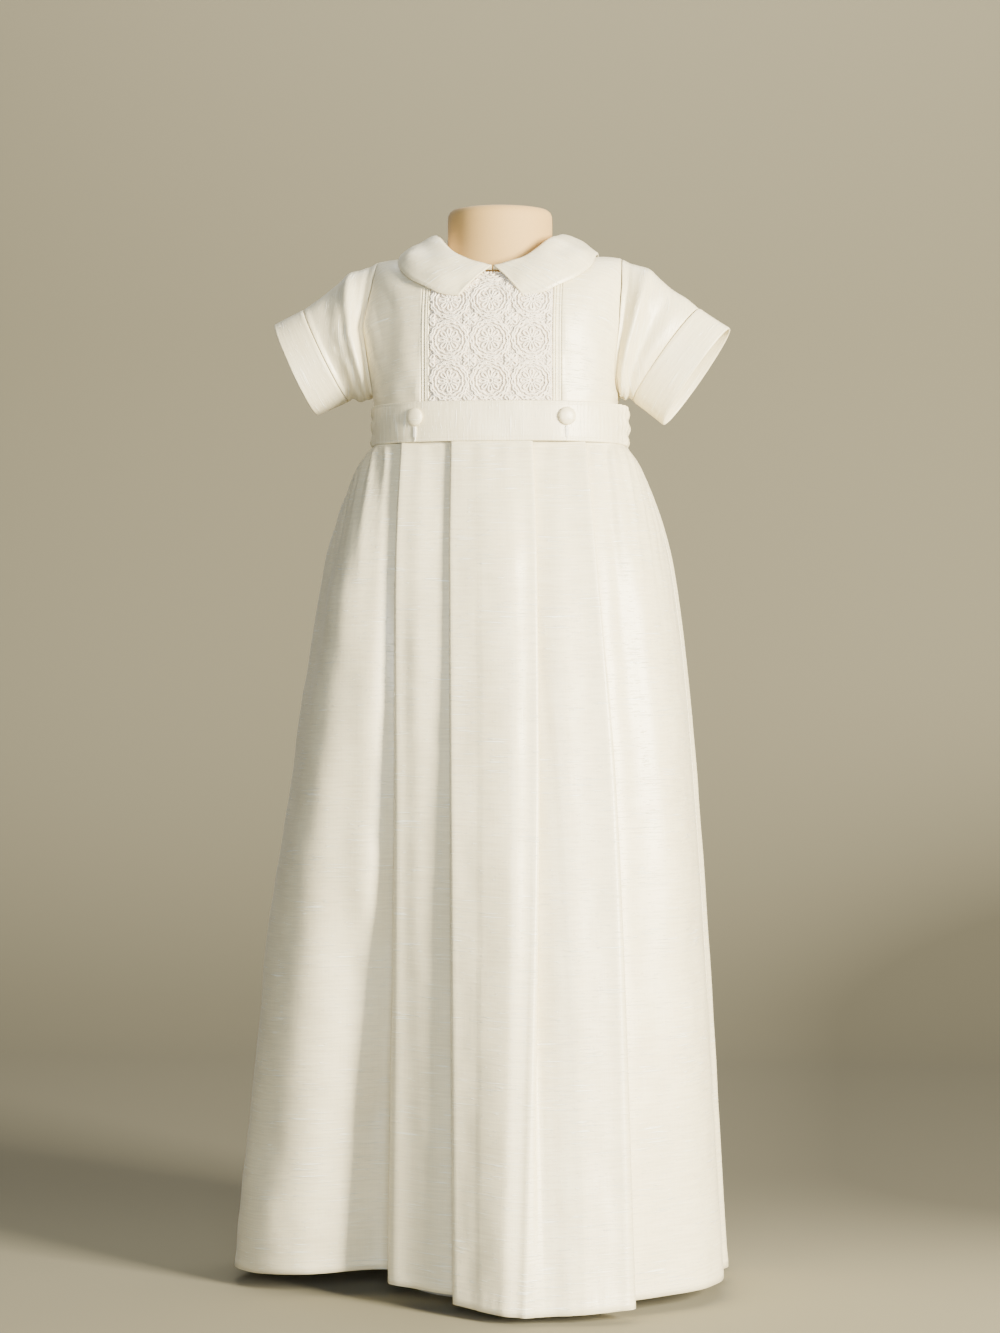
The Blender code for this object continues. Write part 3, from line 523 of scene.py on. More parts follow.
def normals_of(grid, closed=False):
    if closed:
        wide = np.concatenate([grid[:, -1:], grid, grid[:, :1]], axis=1)
        du = (wide[:, 2:] - wide[:, :-2]) / 2
    else:
        du = np.gradient(grid, axis=1)
    dv = np.gradient(grid, axis=0)
    n = np.cross(du, dv)
    size = np.linalg.norm(n, axis=2, keepdims=True)
    return n / np.maximum(size, 1e-9)


def round_edged(thick, far, radius):
    """The thickness of a pressed edge, which rounds off over radius; far is the way in from it."""
    return thick * np.sqrt(1 - (1 - np.clip(far / radius, 0.05, 1)) ** 2)


def new_piece(name, verts, faces, uvs, material):
    mesh = bpy.data.meshes.new(name)
    mesh.vertices.add(len(verts))
    mesh.vertices.foreach_set("co", (np.asarray(verts, float) * MM).astype(np.float32).ravel())
    faces = np.asarray(faces, np.int32)
    mesh.loops.add(faces.size)
    mesh.loops.foreach_set("vertex_index", faces.ravel())
    mesh.polygons.add(len(faces))
    mesh.polygons.foreach_set("loop_start", np.arange(0, faces.size, faces.shape[1], dtype=np.int32))
    mesh.update(calc_edges=True)
    layer = mesh.uv_layers.new(name="cloth")
    layer.data.foreach_set("uv", (np.asarray(uvs, float) * MM).astype(np.float32).ravel())
    mesh.validate()
    mesh.shade_smooth()
    mesh.materials.append(material)
    piece = bpy.data.objects.new(name, mesh)
    bpy.context.scene.collection.objects.link(piece)
    return piece


def cut_size(grid, closed):
    """Width, length and area of the cloth that a sheet is cut from, in metres."""
    loop = np.concatenate([grid, grid[:, :1]], axis=1) if closed else grid
    across, up = lengths(loop)
    slant = np.cross(loop[1:, 1:] - loop[:-1, :-1], loop[1:, :-1] - loop[:-1, 1:])
    area = np.linalg.norm(slant, axis=2).sum() / 2
    return across[:, -1].max() / 1000, up[-1].max() / 1000, area / 1e6


def shell(name, grid, thick, material, closed=False, outer=1, uv=None, shift=0.0):
    """A cloth wall about a grid of points. outer is 1 or -1, the side of the grid that is worn
    outside; shift moves the wall out. uv is in millimetres of cloth."""
    grid = np.asarray(grid, float)
    cut_size(grid, closed)
    rows, cols = grid.shape[:2]
    n = normals_of(grid, closed) * outer
    wall = np.broadcast_to(np.asarray(thick, float), (rows, cols))[..., None]
    front = grid + n * (wall / 2 + shift)
    back = grid - n * (wall / 2 - shift)
    if uv is None:
        loop = np.concatenate([grid, grid[:, :1]], axis=1) if closed else grid
        across, up = lengths(loop)
        uv = np.stack([np.broadcast_to(across.mean(axis=0), across.shape), np.maximum(up, 0)], axis=2)
    verts = np.concatenate([front.reshape(-1, 3), back.reshape(-1, 3)])
    size = rows * cols
    last = cols if closed else cols - 1
    j, i = np.meshgrid(np.arange(rows - 1), np.arange(last), indexing="ij")
    j, i = j.ravel(), i.ravel()
    k = (i + 1) % cols
    a, b, c, d = j * cols + i, j * cols + k, (j + 1) * cols + k, (j + 1) * cols + i
    quad = np.stack([a, b, c, d], axis=1)
    uvs = np.stack([uv[j, i], uv[j, i + 1], uv[j + 1, i + 1], uv[j + 1, i]], axis=1)
    if outer < 0:
        quad, uvs = quad[:, ::-1], uvs[:, ::-1]
    faces = [quad, quad[:, ::-1] + size]
    corners = [uvs, uvs[:, ::-1]]

    def rim(line, places, flip):
        line = np.asarray(line)
        p, q = line[:-1], line[1:]
        wall_faces = np.stack([q, p, p + size, q + size], axis=1)
        wall_uvs = np.stack([places[1:], places[:-1], places[:-1], places[1:]], axis=1)
        if flip:
            wall_faces, wall_uvs = wall_faces[:, ::-1], wall_uvs[:, ::-1]
        faces.append(wall_faces)
        corners.append(wall_uvs)

    flip = outer < 0
    bottom = list(range(cols)) + ([0] if closed else [])
    rim(bottom, uv[0, :last + 1], flip)
    rim([(rows - 1) * cols + x for x in bottom], uv[-1, :last + 1], not flip)
    if not closed:
        rim([r * cols for r in range(rows)], uv[:, 0], not flip)
        rim([r * cols + cols - 1 for r in range(rows)], uv[:, -1], flip)
    corners = np.concatenate(corners).reshape(-1, 2)
    return new_piece(name, verts, np.concatenate(faces), corners, material)


# Materials


class Socket:
    """One output of a material's node tree; arithmetic on it adds Math nodes."""

    def __init__(self, shader, out):
        self.shader = shader
        self.out = out

    def _math(self, operation, *others):
        return self.shader.node("Math", dict(operation=operation), self, *others)

    def __add__(self, other):
        return self._math("ADD", other)

    def __mul__(self, other):
        return self._math("MULTIPLY", other)

    def __rsub__(self, other):
        return self.shader.node("Math", dict(operation="SUBTRACT"), other, self)

    def above(self, low, high):
        """0 below low and 1 above high, with a soft change between them."""
        smooth = dict(interpolation_type="SMOOTHSTEP")
        return self.shader.node("MapRange", smooth, self, low, high, 0.0, 1.0)

    __radd__ = __add__
    __rmul__ = __mul__


class Finish:
    """A material built from nodes."""

    def __init__(self, name):
        self.material = bpy.data.materials.new(name)
        self.material.use_nodes = True
        self.tree = self.material.node_tree
        self.surface = self.tree.nodes["Principled BSDF"]

    def node(self, kind, settings=None, *inputs, out=0, **named):
        made = self.tree.nodes.new("ShaderNode" + kind)
        for key, value in (settings or {}).items():
            setattr(made, key, value)
        for key, value in list(enumerate(inputs)) + list(named.items()):
            if isinstance(value, Socket):
                self.tree.links.new(value.out, made.inputs[key])
            elif value is not None:
                made.inputs[key].default_value = value
        return Socket(self, made.outputs[out])

    def set(self, **values):
        for key, value in values.items():
            socket = self.surface.inputs[key.replace("_", " ")]
            if isinstance(value, Socket):
                self.tree.links.new(value.out, socket)
            else:
                socket.default_value = value

    def mix(self, factor, a, b):
        made = self.tree.nodes.new("ShaderNodeMix")
        made.data_type = "RGBA"
        for socket, value in ((made.inputs[0], factor), (made.inputs[6], a), (made.inputs[7], b)):
            if isinstance(value, Socket):
                self.tree.links.new(value.out, socket)
            else:
                socket.default_value = value
        return Socket(self, made.outputs[2])

    def noise(self, place, scale, detail=2.0, roughness=0.5):
        """Noise with scale waves to a metre along each axis of place."""
        moved = self.node("Mapping", None, place, Scale=scale)
        return self.node(
            "TexNoise", dict(noise_dimensions="3D"),
            Vector=moved, Scale=1.0, Detail=detail, Roughness=roughness,
        )

    def bump(self, height, distance, strength=1.0):
        return self.node("Bump", None, Strength=strength, Distance=distance, Height=height)


def rgb(*values):
    """sRGB 0 to 255 to a linear colour."""
    linear = [(v / 255 / 12.92) if v <= 10.3 else ((v / 255 + 0.055) / 1.055) ** 2.4 for v in values]
    return (*linear, 1.0)


IVORY = rgb(243, 231, 192)
IVORY_SHADE = rgb(224, 211, 173)
IVORY_LIGHT = rgb(255, 251, 228)


def shantung(name, turn=0.0, slubs=1.0, base=IVORY, light=IVORY_LIGHT, shade=IVORY_SHADE):
    """Silk-like cloth with fine crosswise threads and slubs; turn in degrees turns the grain."""
    f = Finish(name)
    place = f.node("UVMap", dict(uv_map="cloth"))
    if turn:
        place = f.node("Mapping", None, place, Rotation=(0, 0, math.radians(turn)))
    weft = f.noise(place, (38, 640, 1), 3.0, 0.65)
    warp = f.noise(place, (1700, 30, 1), 2.0)
    long_slub = f.noise(place, (40, 820, 1), 1.0).above(0.6, 0.7)
    where = f.noise(place, (14, 40, 1), 1.0).above(0.4, 0.6)
    short_slub = f.noise(place, (140, 950, 1), 1.0).above(0.65, 0.72)
    slub = long_slub * where + short_slub * 0.7
    cloudy = f.noise(place, (9, 14, 1), 2.0)
    tone = weft * 0.55 + warp * 0.2 + cloudy * 0.25
    colour = f.mix(tone.above(0.33, 0.67), shade, base)
    colour = f.mix(slub * slubs, colour, light)
    height = weft * 0.6 + warp * 0.25 + slub * (1.1 * slubs)
    f.set(
        Base_Color=colour, Roughness=0.34 - slub * 0.1 + weft * 0.08, Normal=f.bump(height, 0.00034, 0.8),
        Sheen_Weight=0.12, Sheen_Roughness=0.4, Specular_IOR_Level=0.7,
    )
    return f.material


def lace_cloth():
    """The lace's own ground: fine open net cells that lie on the lining."""
    f = Finish("lace_ground")
    place = f.node("UVMap", dict(uv_map="cloth"))
    wander = f.noise(place, (160, 160, 1), 1.0)
    cells = f.node("TexVoronoi", dict(voronoi_dimensions="2D", feature="DISTANCE_TO_EDGE"),
                   Vector=f.node("Mapping", None, place, Scale=(390, 430, 1)), Scale=1.0, Randomness=0.85)
    ridge = 1 - cells.above(0.04, 0.24)
    twist = f.noise(place, (1400, 1400, 1), 1.0)
    colour = f.mix(ridge, rgb(226, 211, 188), rgb(243, 232, 212))
    f.set(Base_Color=colour, Roughness=0.82, Sheen_Weight=0.1, Specular_IOR_Level=0.25,
          Normal=f.bump(ridge * 0.8 + twist * 0.18 + wander * 0.2, 0.0007, 0.9))
    return f.material


def plain_finish(name, colour, roughness, grain, depth, metallic=0.0, **more):
    f = Finish(name)
    place = f.node("TexCoord", None, out=3)
    speck = f.noise(place, (grain, grain, grain), 3.0)
    dark = tuple(c * 0.9 for c in colour[:3]) + (1.0,)
    f.set(Base_Color=f.mix(speck.above(0.3, 0.7), dark, colour), Roughness=roughness + speck * 0.08,
          Metallic=metallic, Normal=f.bump(speck, depth, 0.6), **more)
    return f.material


def paper():
    """Backdrop paper with painted shade: a little darker where it lies on the floor and towards the right.
    """
    f = Finish("backdrop_paper")
    split = f.node("SeparateXYZ", None, f.node("TexCoord", None, out=3))
    across = Socket(f, split.out.node.outputs[0])
    away = Socket(f, split.out.node.outputs[1])
    floor = away.above(0.0, 0.55) * (1 - away.above(1.5, 2.1))
    # painted shade: the paper is darkened from just in front of the garment back over the floor, and more
    # on the floor towards the right
    dark = away.above(-0.1, 0.4) * 0.3 + floor * 0.38 + across.above(0.0, 0.6) * floor * 0.95
    f.set(Base_Color=f.mix(dark, rgb(133, 126, 101), rgb(84, 79, 61)), Roughness=0.9)
    return f.material


CLOTH = shantung("shantung_crosswise")
BAND_CLOTH = shantung("shantung_lengthwise", 90.0, 0.8)
COLLAR_CLOTH = shantung("shantung_bias", -70.0, 1.2)
CUFF_CLOTH = shantung("shantung_cuff", 0.0, 0.7)
LACE_GROUND = lace_cloth()
LACE_CORD = plain_finish("lace_cord", rgb(250, 238, 216), 0.68, 2600, 0.00025, Sheen_Weight=0.15)
THREAD = plain_finish("sewing_thread", rgb(248, 241, 222), 0.5, 3000, 0.0001)
JERSEY = plain_finish("form_jersey", rgb(196, 158, 94), 0.7, 2600, 0.00012, Sheen_Weight=0.1)
PAINT = plain_finish("stand_paint", rgb(216, 209, 190), 0.38, 60, 0.00003)


# Rows of stitches and lace cords, laid along curves by Geometry Nodes


def node_group(name, sizes):
    """A Geometry Nodes tree with one curve in, the named sizes in metres and one mesh out."""
    tree = bpy.data.node_groups.new(name, "GeometryNodeTree")
    tree.interface.new_socket("Curves", in_out="INPUT", socket_type="NodeSocketGeometry")
    for label, value in sizes.items():
        socket = tree.interface.new_socket(label, in_out="INPUT", socket_type="NodeSocketFloat")
        socket.default_value = value
    tree.interface.new_socket("Material", in_out="INPUT", socket_type="NodeSocketMaterial")
    tree.interface.new_socket("Mesh", in_out="OUTPUT", socket_type="NodeSocketGeometry")
    given = tree.nodes.new("NodeGroupInput")
    result = tree.nodes.new("NodeGroupOutput")

    def add(kind, settings=None, **links):
        made = tree.nodes.new(kind)
        for key, value in (settings or {}).items():
            setattr(made, key, value)
        for key, value in links.items():
            socket = made.inputs[key.replace("_", " ")]
            if isinstance(value, bpy.types.NodeSocket):
                tree.links.new(value, socket)
            else:
                socket.default_value = value
        return made

    return tree, given, result, add


def stitch_tree():
    tree, given, result, add = node_group(
        "stitch_row", {"Spacing": 0.0024, "Length": 0.0017, "Width": 0.0002})
    points = add("GeometryNodeCurveToPoints", dict(mode="LENGTH"),
                 Curve=given.outputs["Curves"], Length=given.outputs["Spacing"])
    ball = add("GeometryNodeMeshUVSphere", None, Segments=6, Rings=5, Radius=0.5)
    size = add("ShaderNodeCombineXYZ", None,
               X=given.outputs["Width"], Y=given.outputs["Width"], Z=given.outputs["Length"])
    laid = add("GeometryNodeInstanceOnPoints", None,
               Points=points.outputs["Points"], Instance=ball.outputs["Mesh"],
               Rotation=points.outputs["Rotation"], Scale=size.outputs["Vector"])
    real = add("GeometryNodeRealizeInstances", None, Geometry=laid.outputs["Instances"])
    last = add("GeometryNodeSetMaterial", None,
               Geometry=real.outputs["Geometry"], Material=given.outputs["Material"])
    tree.links.new(last.outputs["Geometry"], result.inputs["Mesh"])
    return tree


def cord_tree():
    tree, given, result, add = node_group("lace_cord", {"Radius": 0.00045, "Spacing": 0.0007})
    even = add("GeometryNodeResampleCurve", dict(mode="LENGTH"),
               Curve=given.outputs["Curves"], Length=given.outputs["Spacing"])
    ring = add("GeometryNodeCurvePrimitiveCircle", dict(mode="RADIUS"),
               Resolution=5, Radius=given.outputs["Radius"])
    swept = add("GeometryNodeCurveToMesh", None,
                Curve=even.outputs["Curve"], Profile_Curve=ring.outputs["Curve"], Fill_Caps=True)
    real = add("GeometryNodeRealizeInstances", None, Geometry=swept.outputs["Mesh"])
    last = add("GeometryNodeSetMaterial", None,
               Geometry=real.outputs["Geometry"], Material=given.outputs["Material"])
    tree.links.new(last.outputs["Geometry"], result.inputs["Mesh"])
    return tree


STITCH_TREE = stitch_tree()
CORD_TREE = cord_tree()


def laid_along(name, lines, tree, material, slot, **sizes):
    """One plain mesh of what the tree lays along the lines, each (points, closed)."""
    curve = bpy.data.curves.new(name, "CURVE")
    curve.dimensions = "3D"
    for points, closed in lines:
        spline = curve.splines.new("POLY")
        spline.points.add(len(points) - 1)
        flat = np.column_stack([np.asarray(points, float) * MM, np.ones(len(points))])
        spline.points.foreach_set("co", flat.astype(np.float32).ravel())
        spline.use_cyclic_u = closed
    route = bpy.data.objects.new(name + "_route", curve)
    bpy.context.scene.collection.objects.link(route)
    modifier = route.modifiers.new("laid", "NODES")
    modifier.node_group = tree
    for item in tree.interface.items_tree:
        if item.in_out == "INPUT" and item.name in sizes:
            modifier[item.identifier] = sizes[item.name]
        if item.in_out == "INPUT" and item.name == "Material":
            modifier[item.identifier] = material
    graph = bpy.context.evaluated_depsgraph_get()
    mesh = bpy.data.meshes.new_from_object(route.evaluated_get(graph))
    bpy.data.objects.remove(route)
    mesh.shade_smooth()
    piece = bpy.data.objects.new(name, mesh)
    bpy.context.scene.collection.objects.link(piece)
    if not mesh.materials:
        mesh.materials.append(material)
    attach(piece, BODY)
    return piece


def stitches(name, lines, slot="shantung"):
    return laid_along(name, lines, STITCH_TREE, THREAD, slot)


# Bodice


SIDES = (("left", 1), ("right", -1))
CLOTH_WALL, TRIM_WALL, DOUBLED_WALL, COLLAR_WALL, SLEEVE_WALL = 0.8, 0.9, 1.5, 1.25, 0.7
PRESSED_EDGE, COLLAR_EDGE_RADIUS = 0.8, 0.9
SEAM_GAP = 0.3
BODICE_SINK = -0.4
BODICE_ACROSS, BODICE_UP = 54, 84
ARMHOLE_PULL_FROM = 0.45
TUCK_SINK = -0.6
TUCK_ACROSS = 37
TUCK_STITCH_COLUMN = 24
TUCKS = (
    # place across the strip from 0 to 1, height in millimetres, half width
    (0.16, 0.75, 0.09),
    (0.45, 0.75, 0.09),
    (0.9, 0.6, 0.1),
)


def worn(piece, *nodes):
    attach(piece, BODY)
    if nodes:
        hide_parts(*nodes)
    return piece


def bodice_wrinkles(grid, side, back):
    """How far the bodice's cloth stands off its smooth shape."""
    x, z = grid[..., 0] * side, grid[..., 2]
    near_arm = soft_step(x, 52, 84) * soft_step(z, 612, 640) * (1 - soft_step(z, 690, 712))
    drag = np.sin((x * 0.9 - (z - 640) * 0.35) / 5.2) * near_arm * 0.8
    blouse = bump_at(z, 619, 7) * (0.5 + 0.35 * np.sin(x / 6.1 + 1.0) + 0.25 * np.sin(x / 3.3))
    loose = ripple(x, z, 1.7 + back * 2 + side, 55) * 0.6 + ripple(x, z * 0.7, 0.4 + side, 21) * 0.16
    return drag + blouse * (z > 611) + loose * soft_step(z, 612, 625)


def make_bodice_panel(part, name, side):
    back = part == "back"
    inner = SEAM_GAP if back else TUCK_OUTER_X + SEAM_GAP
    grid = bodice_patch(inner, None, side, back, BODICE_ACROSS, BODICE_UP, BODICE_SINK)
    towards_arm = soft_step(np.linspace(0, 1, BODICE_ACROSS), ARMHOLE_PULL_FROM, 1.0)
    grid[..., 0] += armhole_shift(side, grid[..., 2]) * towards_arm
    outer = -side if back else side
    lift = bodice_wrinkles(grid, side, back)
    lift[:, :2] *= 0.3
    lift[:, -3:] *= 0.3
    grid = grid + normals_of(grid) * outer * np.maximum(lift, -0.3)[..., None]
    piece = shell(f"bodice_{part}_{name}_cloth", grid, CLOTH_WALL, CLOTH, outer=outer)
    return worn(piece, f"bodice_{part}_{name}")


def make_tuck_strip(name, side):
    """The pressed tucks beside the lace, with a row of stitches along the middle one."""
    inner = LACE_HALF_WIDTH + SEAM_GAP
    grid = bodice_patch(inner, TUCK_OUTER_X, side, False, TUCK_ACROSS, BODICE_UP, TUCK_SINK)
    across = np.linspace(0, 1, TUCK_ACROSS)
    ridges = sum(height * bump_at(across, place, width) for place, height, width in TUCKS)
    grid[..., 1] -= ridges * (0.4 + 0.6 * soft_step(grid[..., 2], BAND_TOP_Z, BAND_TOP_Z + 3))
    strip = shell(f"tuck_strip_{name}_cloth", grid, TRIM_WALL, CLOTH, outer=side)
    worn(strip, f"tuck_strip_{name}")
    seam = grid[:, TUCK_STITCH_COLUMN] + (0, -0.55, 0)
    stitches(f"tuck_strip_{name}_stitches", [(seam, False)])
    return strip


def make_bodice():
    made = []
    for name, side in SIDES:
        made.append(make_bodice_panel("front", name, side))
        made.append(make_bodice_panel("back", name, side))
        made.append(make_tuck_strip(name, side))
    return made


# Lace: eight-petalled flowers in scalloped rings, on an even grid


LACE_PITCH = 28.2
LACE_FIRST_FLOWER = 21.5
LACE_FIRST_FILLER = 7.4
LACE_FLOWER_ROWS = 5
LACE_PETALS = 8
LACE_BALLS = 12
LACE_MARGIN = 0.6
LACE_FOOT = 8.2
LACE_ROOF_MARGIN = 0.8
LACE_CORD_OUT = 0.35
LACE_SINK = -0.55
LACE_ACROSS, LACE_UP = 92, 120


def run_up_lace(rises):
    """How far up the cloth each of the rises lies, along the centre front."""
    points = [torso_point(0, rise) for rise in rises]
    return np.concatenate([[0], np.cumsum(np.linalg.norm(np.diff(points, axis=0), axis=1))])


LACE_RISE = np.linspace(0, 1, 200)
LACE_RUN = run_up_lace(LACE_RISE)


def lace_surface(s, t):
    """The point over the lace panel at s across and t up from its lower edge, in millimetres."""
    rise = np.interp(t, LACE_RUN, LACE_RISE)
    point = torso_point(turn_at(s, rise), rise, LACE_CORD_OUT)
    return (math.copysign(point[0], s), point[1], point[2])


def loop(centre, radius_at, steps):
    s, t = centre
    angles = np.linspace(0, 2 * math.pi, steps, endpoint=False)
    return [(s + radius_at(a) * math.sin(a), t + radius_at(a) * math.cos(a)) for a in angles]


def petal(centre, angle, start, reach, width, steps=22):
    points = []
    for a in np.linspace(0, 2 * math.pi, steps, endpoint=False):
        along = start + (reach - start) * (1 - math.cos(a)) / 2
        out = width * math.sin(a) * (0.35 + 0.65 * (1 - math.cos(a)) / 2)
        points.append((
            centre[0] + along * math.sin(angle) + out * math.cos(angle),
            centre[1] + along * math.cos(angle) - out * math.sin(angle),
        ))
    return points


def lace_flower(centre):
    """A flower with a ball at its heart, three rings about it and small balls between the rings."""
    lines = [loop(centre, lambda a: 1.7, 12)]
    for k in range(LACE_PETALS):
        lines.append(petal(centre, k * 2 * math.pi / LACE_PETALS, 2.3, 7.6, 1.75))
    lines.append(loop(centre, lambda a: 9.0 + 0.75 * abs(math.sin(6 * a)), 96))
    lines.append(loop(centre, lambda a: 11.2 + 0.9 * abs(math.sin(6 * a + 0.8)), 96))
    lines.append(loop(centre, lambda a: 13.3 + 0.5 * math.sin(18 * a), 108))
    for k in range(LACE_BALLS):
        angle = (k + 0.5) * 2 * math.pi / LACE_BALLS
        place = (centre[0] + 12.3 * math.sin(angle), centre[1] + 12.3 * math.cos(angle))
        lines.append(loop(place, lambda a: 0.75, 8))
    return lines


def lace_filler(centre):
    """A small flower of four long and four short petals, between four large ones."""
    lines = []
    for k in range(4):
        lines.append(petal(centre, k * math.pi / 2 + math.pi / 4, 0.8, 5.2, 1.6, 16))
        lines.append(petal(centre, k * math.pi / 2, 1.0, 4.0, 0.9, 12))
    return lines


def lace_lines():
    """The closed rings of the lace as flat (s, t) points."""
    lines = []
    for row in range(LACE_FLOWER_ROWS):
        for column in range(-1, 2):
            lines += lace_flower((column * LACE_PITCH, LACE_FIRST_FLOWER + row * LACE_PITCH))
        for column in range(-2, 2):
            lines += lace_filler(((column + 0.5) * LACE_PITCH, LACE_FIRST_FILLER + row * LACE_PITCH))
    return lines


def cut_to_panel(ring):
    """The parts of a flat ring that lie on the lace panel, laid over it, each (points, closed)."""
    flat = np.array(ring)
    roof = np.array([np.interp(neckline_rise(s, False), LACE_RISE, LACE_RUN) for s in flat[:, 0]])
    inside = (np.abs(flat[:, 0]) < LACE_HALF_WIDTH - LACE_MARGIN) & (flat[:, 1] > LACE_FOOT)
    inside &= flat[:, 1] < roof - LACE_ROOF_MARGIN
    if inside.all():
        return [([lace_surface(s, t) for s, t in flat], True)]
    start = int(np.argmin(inside))
    runs = [[]]
    for (s, t), keep in zip(np.roll(flat, -start, axis=0), np.roll(inside, -start)):
        if keep:
            runs[-1].append(lace_surface(s, t))
        elif runs[-1]:
            runs.append([])
    return [(run, False) for run in runs if len(run) > 2]


def make_lace():
    rows = []
    for share in np.linspace(0, 1, LACE_UP):
        row = []
        for x in np.linspace(-LACE_HALF_WIDTH, LACE_HALF_WIDTH, LACE_ACROSS):
            rise = share * neckline_rise(x, False)
            point = torso_point(turn_at(x, rise), rise, LACE_SINK)
            row.append((math.copysign(point[0], x), point[1], point[2]))
        rows.append(row)
    grid = np.array(rows)
    grid[..., 1] -= 0.25 * ripple(grid[..., 0], grid[..., 2], 0.6, 30)
    ground = worn(shell("lace_ground", grid, TRIM_WALL, LACE_GROUND), "lace_panel")
    lines = []
    for ring in lace_lines():
        lines += cut_to_panel(ring)
    cords = laid_along("lace_cords", lines, CORD_TREE, LACE_CORD, "lace", Radius=0.0007, Spacing=0.0009)
    return ground, cords


# Collar


COLLAR_BACK_GAP = 0.8
COLLAR_LEAF_WIDTH = 26
COLLAR_MM_PER_DEGREE = 0.75
STAND_POINTS = 5
COLLAR_HANG = {
    # how far the point springs away from the lace, and how far the leaf rolls out over the shoulder
    "left": dict(spring=2.4, roll=1.2),
    "right": dict(spring=0.9, roll=3.0),
}


def stepped(start, *stretches):
    """Values that run on from start, each stretch being (stop, steps)."""
    values = [[start]]
    for stop, steps in stretches:
        values.append(np.linspace(start, stop, steps + 1)[1:])
        start = stop
    return np.concatenate(values)


def make_collar():
    made = []
    outs = stepped(0, (0.2, 7), (0.94, 21), (1, 5))
    places = stepped(0, (3, 5), (60, 49), (177, 69), (180, 4))
    leaf = np.concatenate([np.zeros(STAND_POINTS), outs])[None, :]
    edge = np.concatenate([np.full(STAND_POINTS, 99.0), (1 - outs) * COLLAR_LEAF_WIDTH])[None, :]
    front = (places * COLLAR_MM_PER_DEGREE)[:, None]
    rear = ((180 - places) * COLLAR_MM_PER_DEGREE)[:, None]
    far = np.minimum(np.minimum(edge, front), rear)
    press = -0.22 * bump_at(far, 1.6, 0.5) + 0.12 * bump_at(far, 0.7, 0.5)
    for name, side in SIDES:
        hang = COLLAR_HANG[name]
        grid = np.array([collar_row(a, side, COLLAR_BACK_GAP, outs) for a in places])
        puff = ripple(grid[..., 0], grid[..., 2] + grid[..., 1], 2.2 + side, 34) * 0.8
        puff = puff * soft_step(far, 1, 8)
        spring = hang["spring"] * (1 - soft_step(places, 6, 42))[:, None] * leaf ** 2
        roll = hang["roll"] * bump_at(places, 60, 26)[:, None] * bump_at(leaf, 0.42, 0.26)
        grid = grid + normals_of(grid) * -side * (press + puff + (spring + roll))[..., None]
        across, up = lengths(grid)
        uv = np.stack([up, across], axis=2)
        wall = round_edged(COLLAR_WALL, far, COLLAR_EDGE_RADIUS)
        leaf_cloth = shell(f"collar_{name}_cloth", grid, wall, COLLAR_CLOTH, outer=-side, uv=uv)
        made.append(worn(leaf_cloth, f"collar_{name}"))
    return made


# Sleeves


SLEEVE_AROUND = 150
SLEEVE_ALONG = 64
SLEEVE_CROWN = 4.0
SLEEVE_FULLNESS = 0.12
CUFF_LENGTH = 27
SLEEVE_HEM_ROW = -4
CUFF_STITCH_ROW = 5
SLEEVE_FOLDS = {
    # across the front of each sleeve: place, slant and half width as shares of its length, size in mm
    "left": ((0.08, 0.02, 0.05, 1.4), (0.28, 0.06, 0.1, -4.6), (0.64, 0.05, 0.16, 3.6)),
    "right": ((0.09, 0.02, 0.05, 1.6), (0.3, 0.08, 0.1, -4.6), (0.8, -0.06, 0.2, 3.6)),
}


def sleeve_lift(name, side, share, turns):
    """How far a sleeve's cloth stands off its smooth shape, at a share of its length and at turns
    about it in radians, from its top over its front."""
    top, front, under = (np.maximum(0, v) for v in (np.cos(turns), np.sin(turns), -np.cos(turns)))
    puckers = 0.28 * np.sin(turns * 44) * np.exp(-share * 26) * (0.4 + 0.6 * top)
    creases = 0.8 * np.sin(share * 9 + 1.5 * np.sin(turns)) * under * np.sin(math.pi * share)
    folds = 0.0
    for place, slant, width, size in SLEEVE_FOLDS[name]:
        folds = folds + size * bump_at(share, place + slant * np.cos(turns), width) * (0.3 + 0.7 * front)
    folds = folds * soft_step(share, 0, 0.06) * soft_step(1 - share, 0, 0.08)
    dent = -1.6 * bump_at(share, 0.8, 0.13) * bump_at(turns, 1.5, 0.8)
    free = np.sin(math.pi * np.clip(share * 1.02, 0, 1))
    loose = ripple(turns * 26, share * 50, 0.9 + side, 40)
    loose = (loose + 0.3 * ripple(turns * 26, share * 50, 2.3 + side, 17)) * free
    pull = 0.9 * np.sin(turns * 3 + share * 3.2 + side) * free**2
    return puckers + creases + folds + dent + loose + pull


def make_sleeve(name, side, armhole, seam, turns):
    """The sleeve from the armhole to the cuff's seam, and the line of its stitches."""
    top = np.maximum(0, np.cos(turns))
    rows = []
    for t in np.linspace(0, 1, SLEEVE_ALONG):
        ring = armhole * (1 - t) + seam * t
        ring[:, 2] += SLEEVE_CROWN * math.sin(math.pi * t) * top
        ring[:, 1] *= 1 + SLEEVE_FULLNESS * math.sin(math.pi * t)
        rows.append(ring)
    grid = np.array(rows)
    share = np.linspace(0, 1, SLEEVE_ALONG)[:, None]
    grid = grid + normals_of(grid, True) * -side * sleeve_lift(name, side, share, turns)[..., None]
    across, length = lengths(np.concatenate([grid, grid[:, :1]], axis=1))
    uv = np.stack([across, length], axis=2)
    sleeve = shell(f"sleeve_{name}_cloth", grid, SLEEVE_WALL, CLOTH, closed=True, outer=-side, uv=uv)
    out = normals_of(grid, True)[SLEEVE_HEM_ROW] * -side
    return worn(sleeve, f"sleeve_{name}"), grid[SLEEVE_HEM_ROW] + out * 0.42


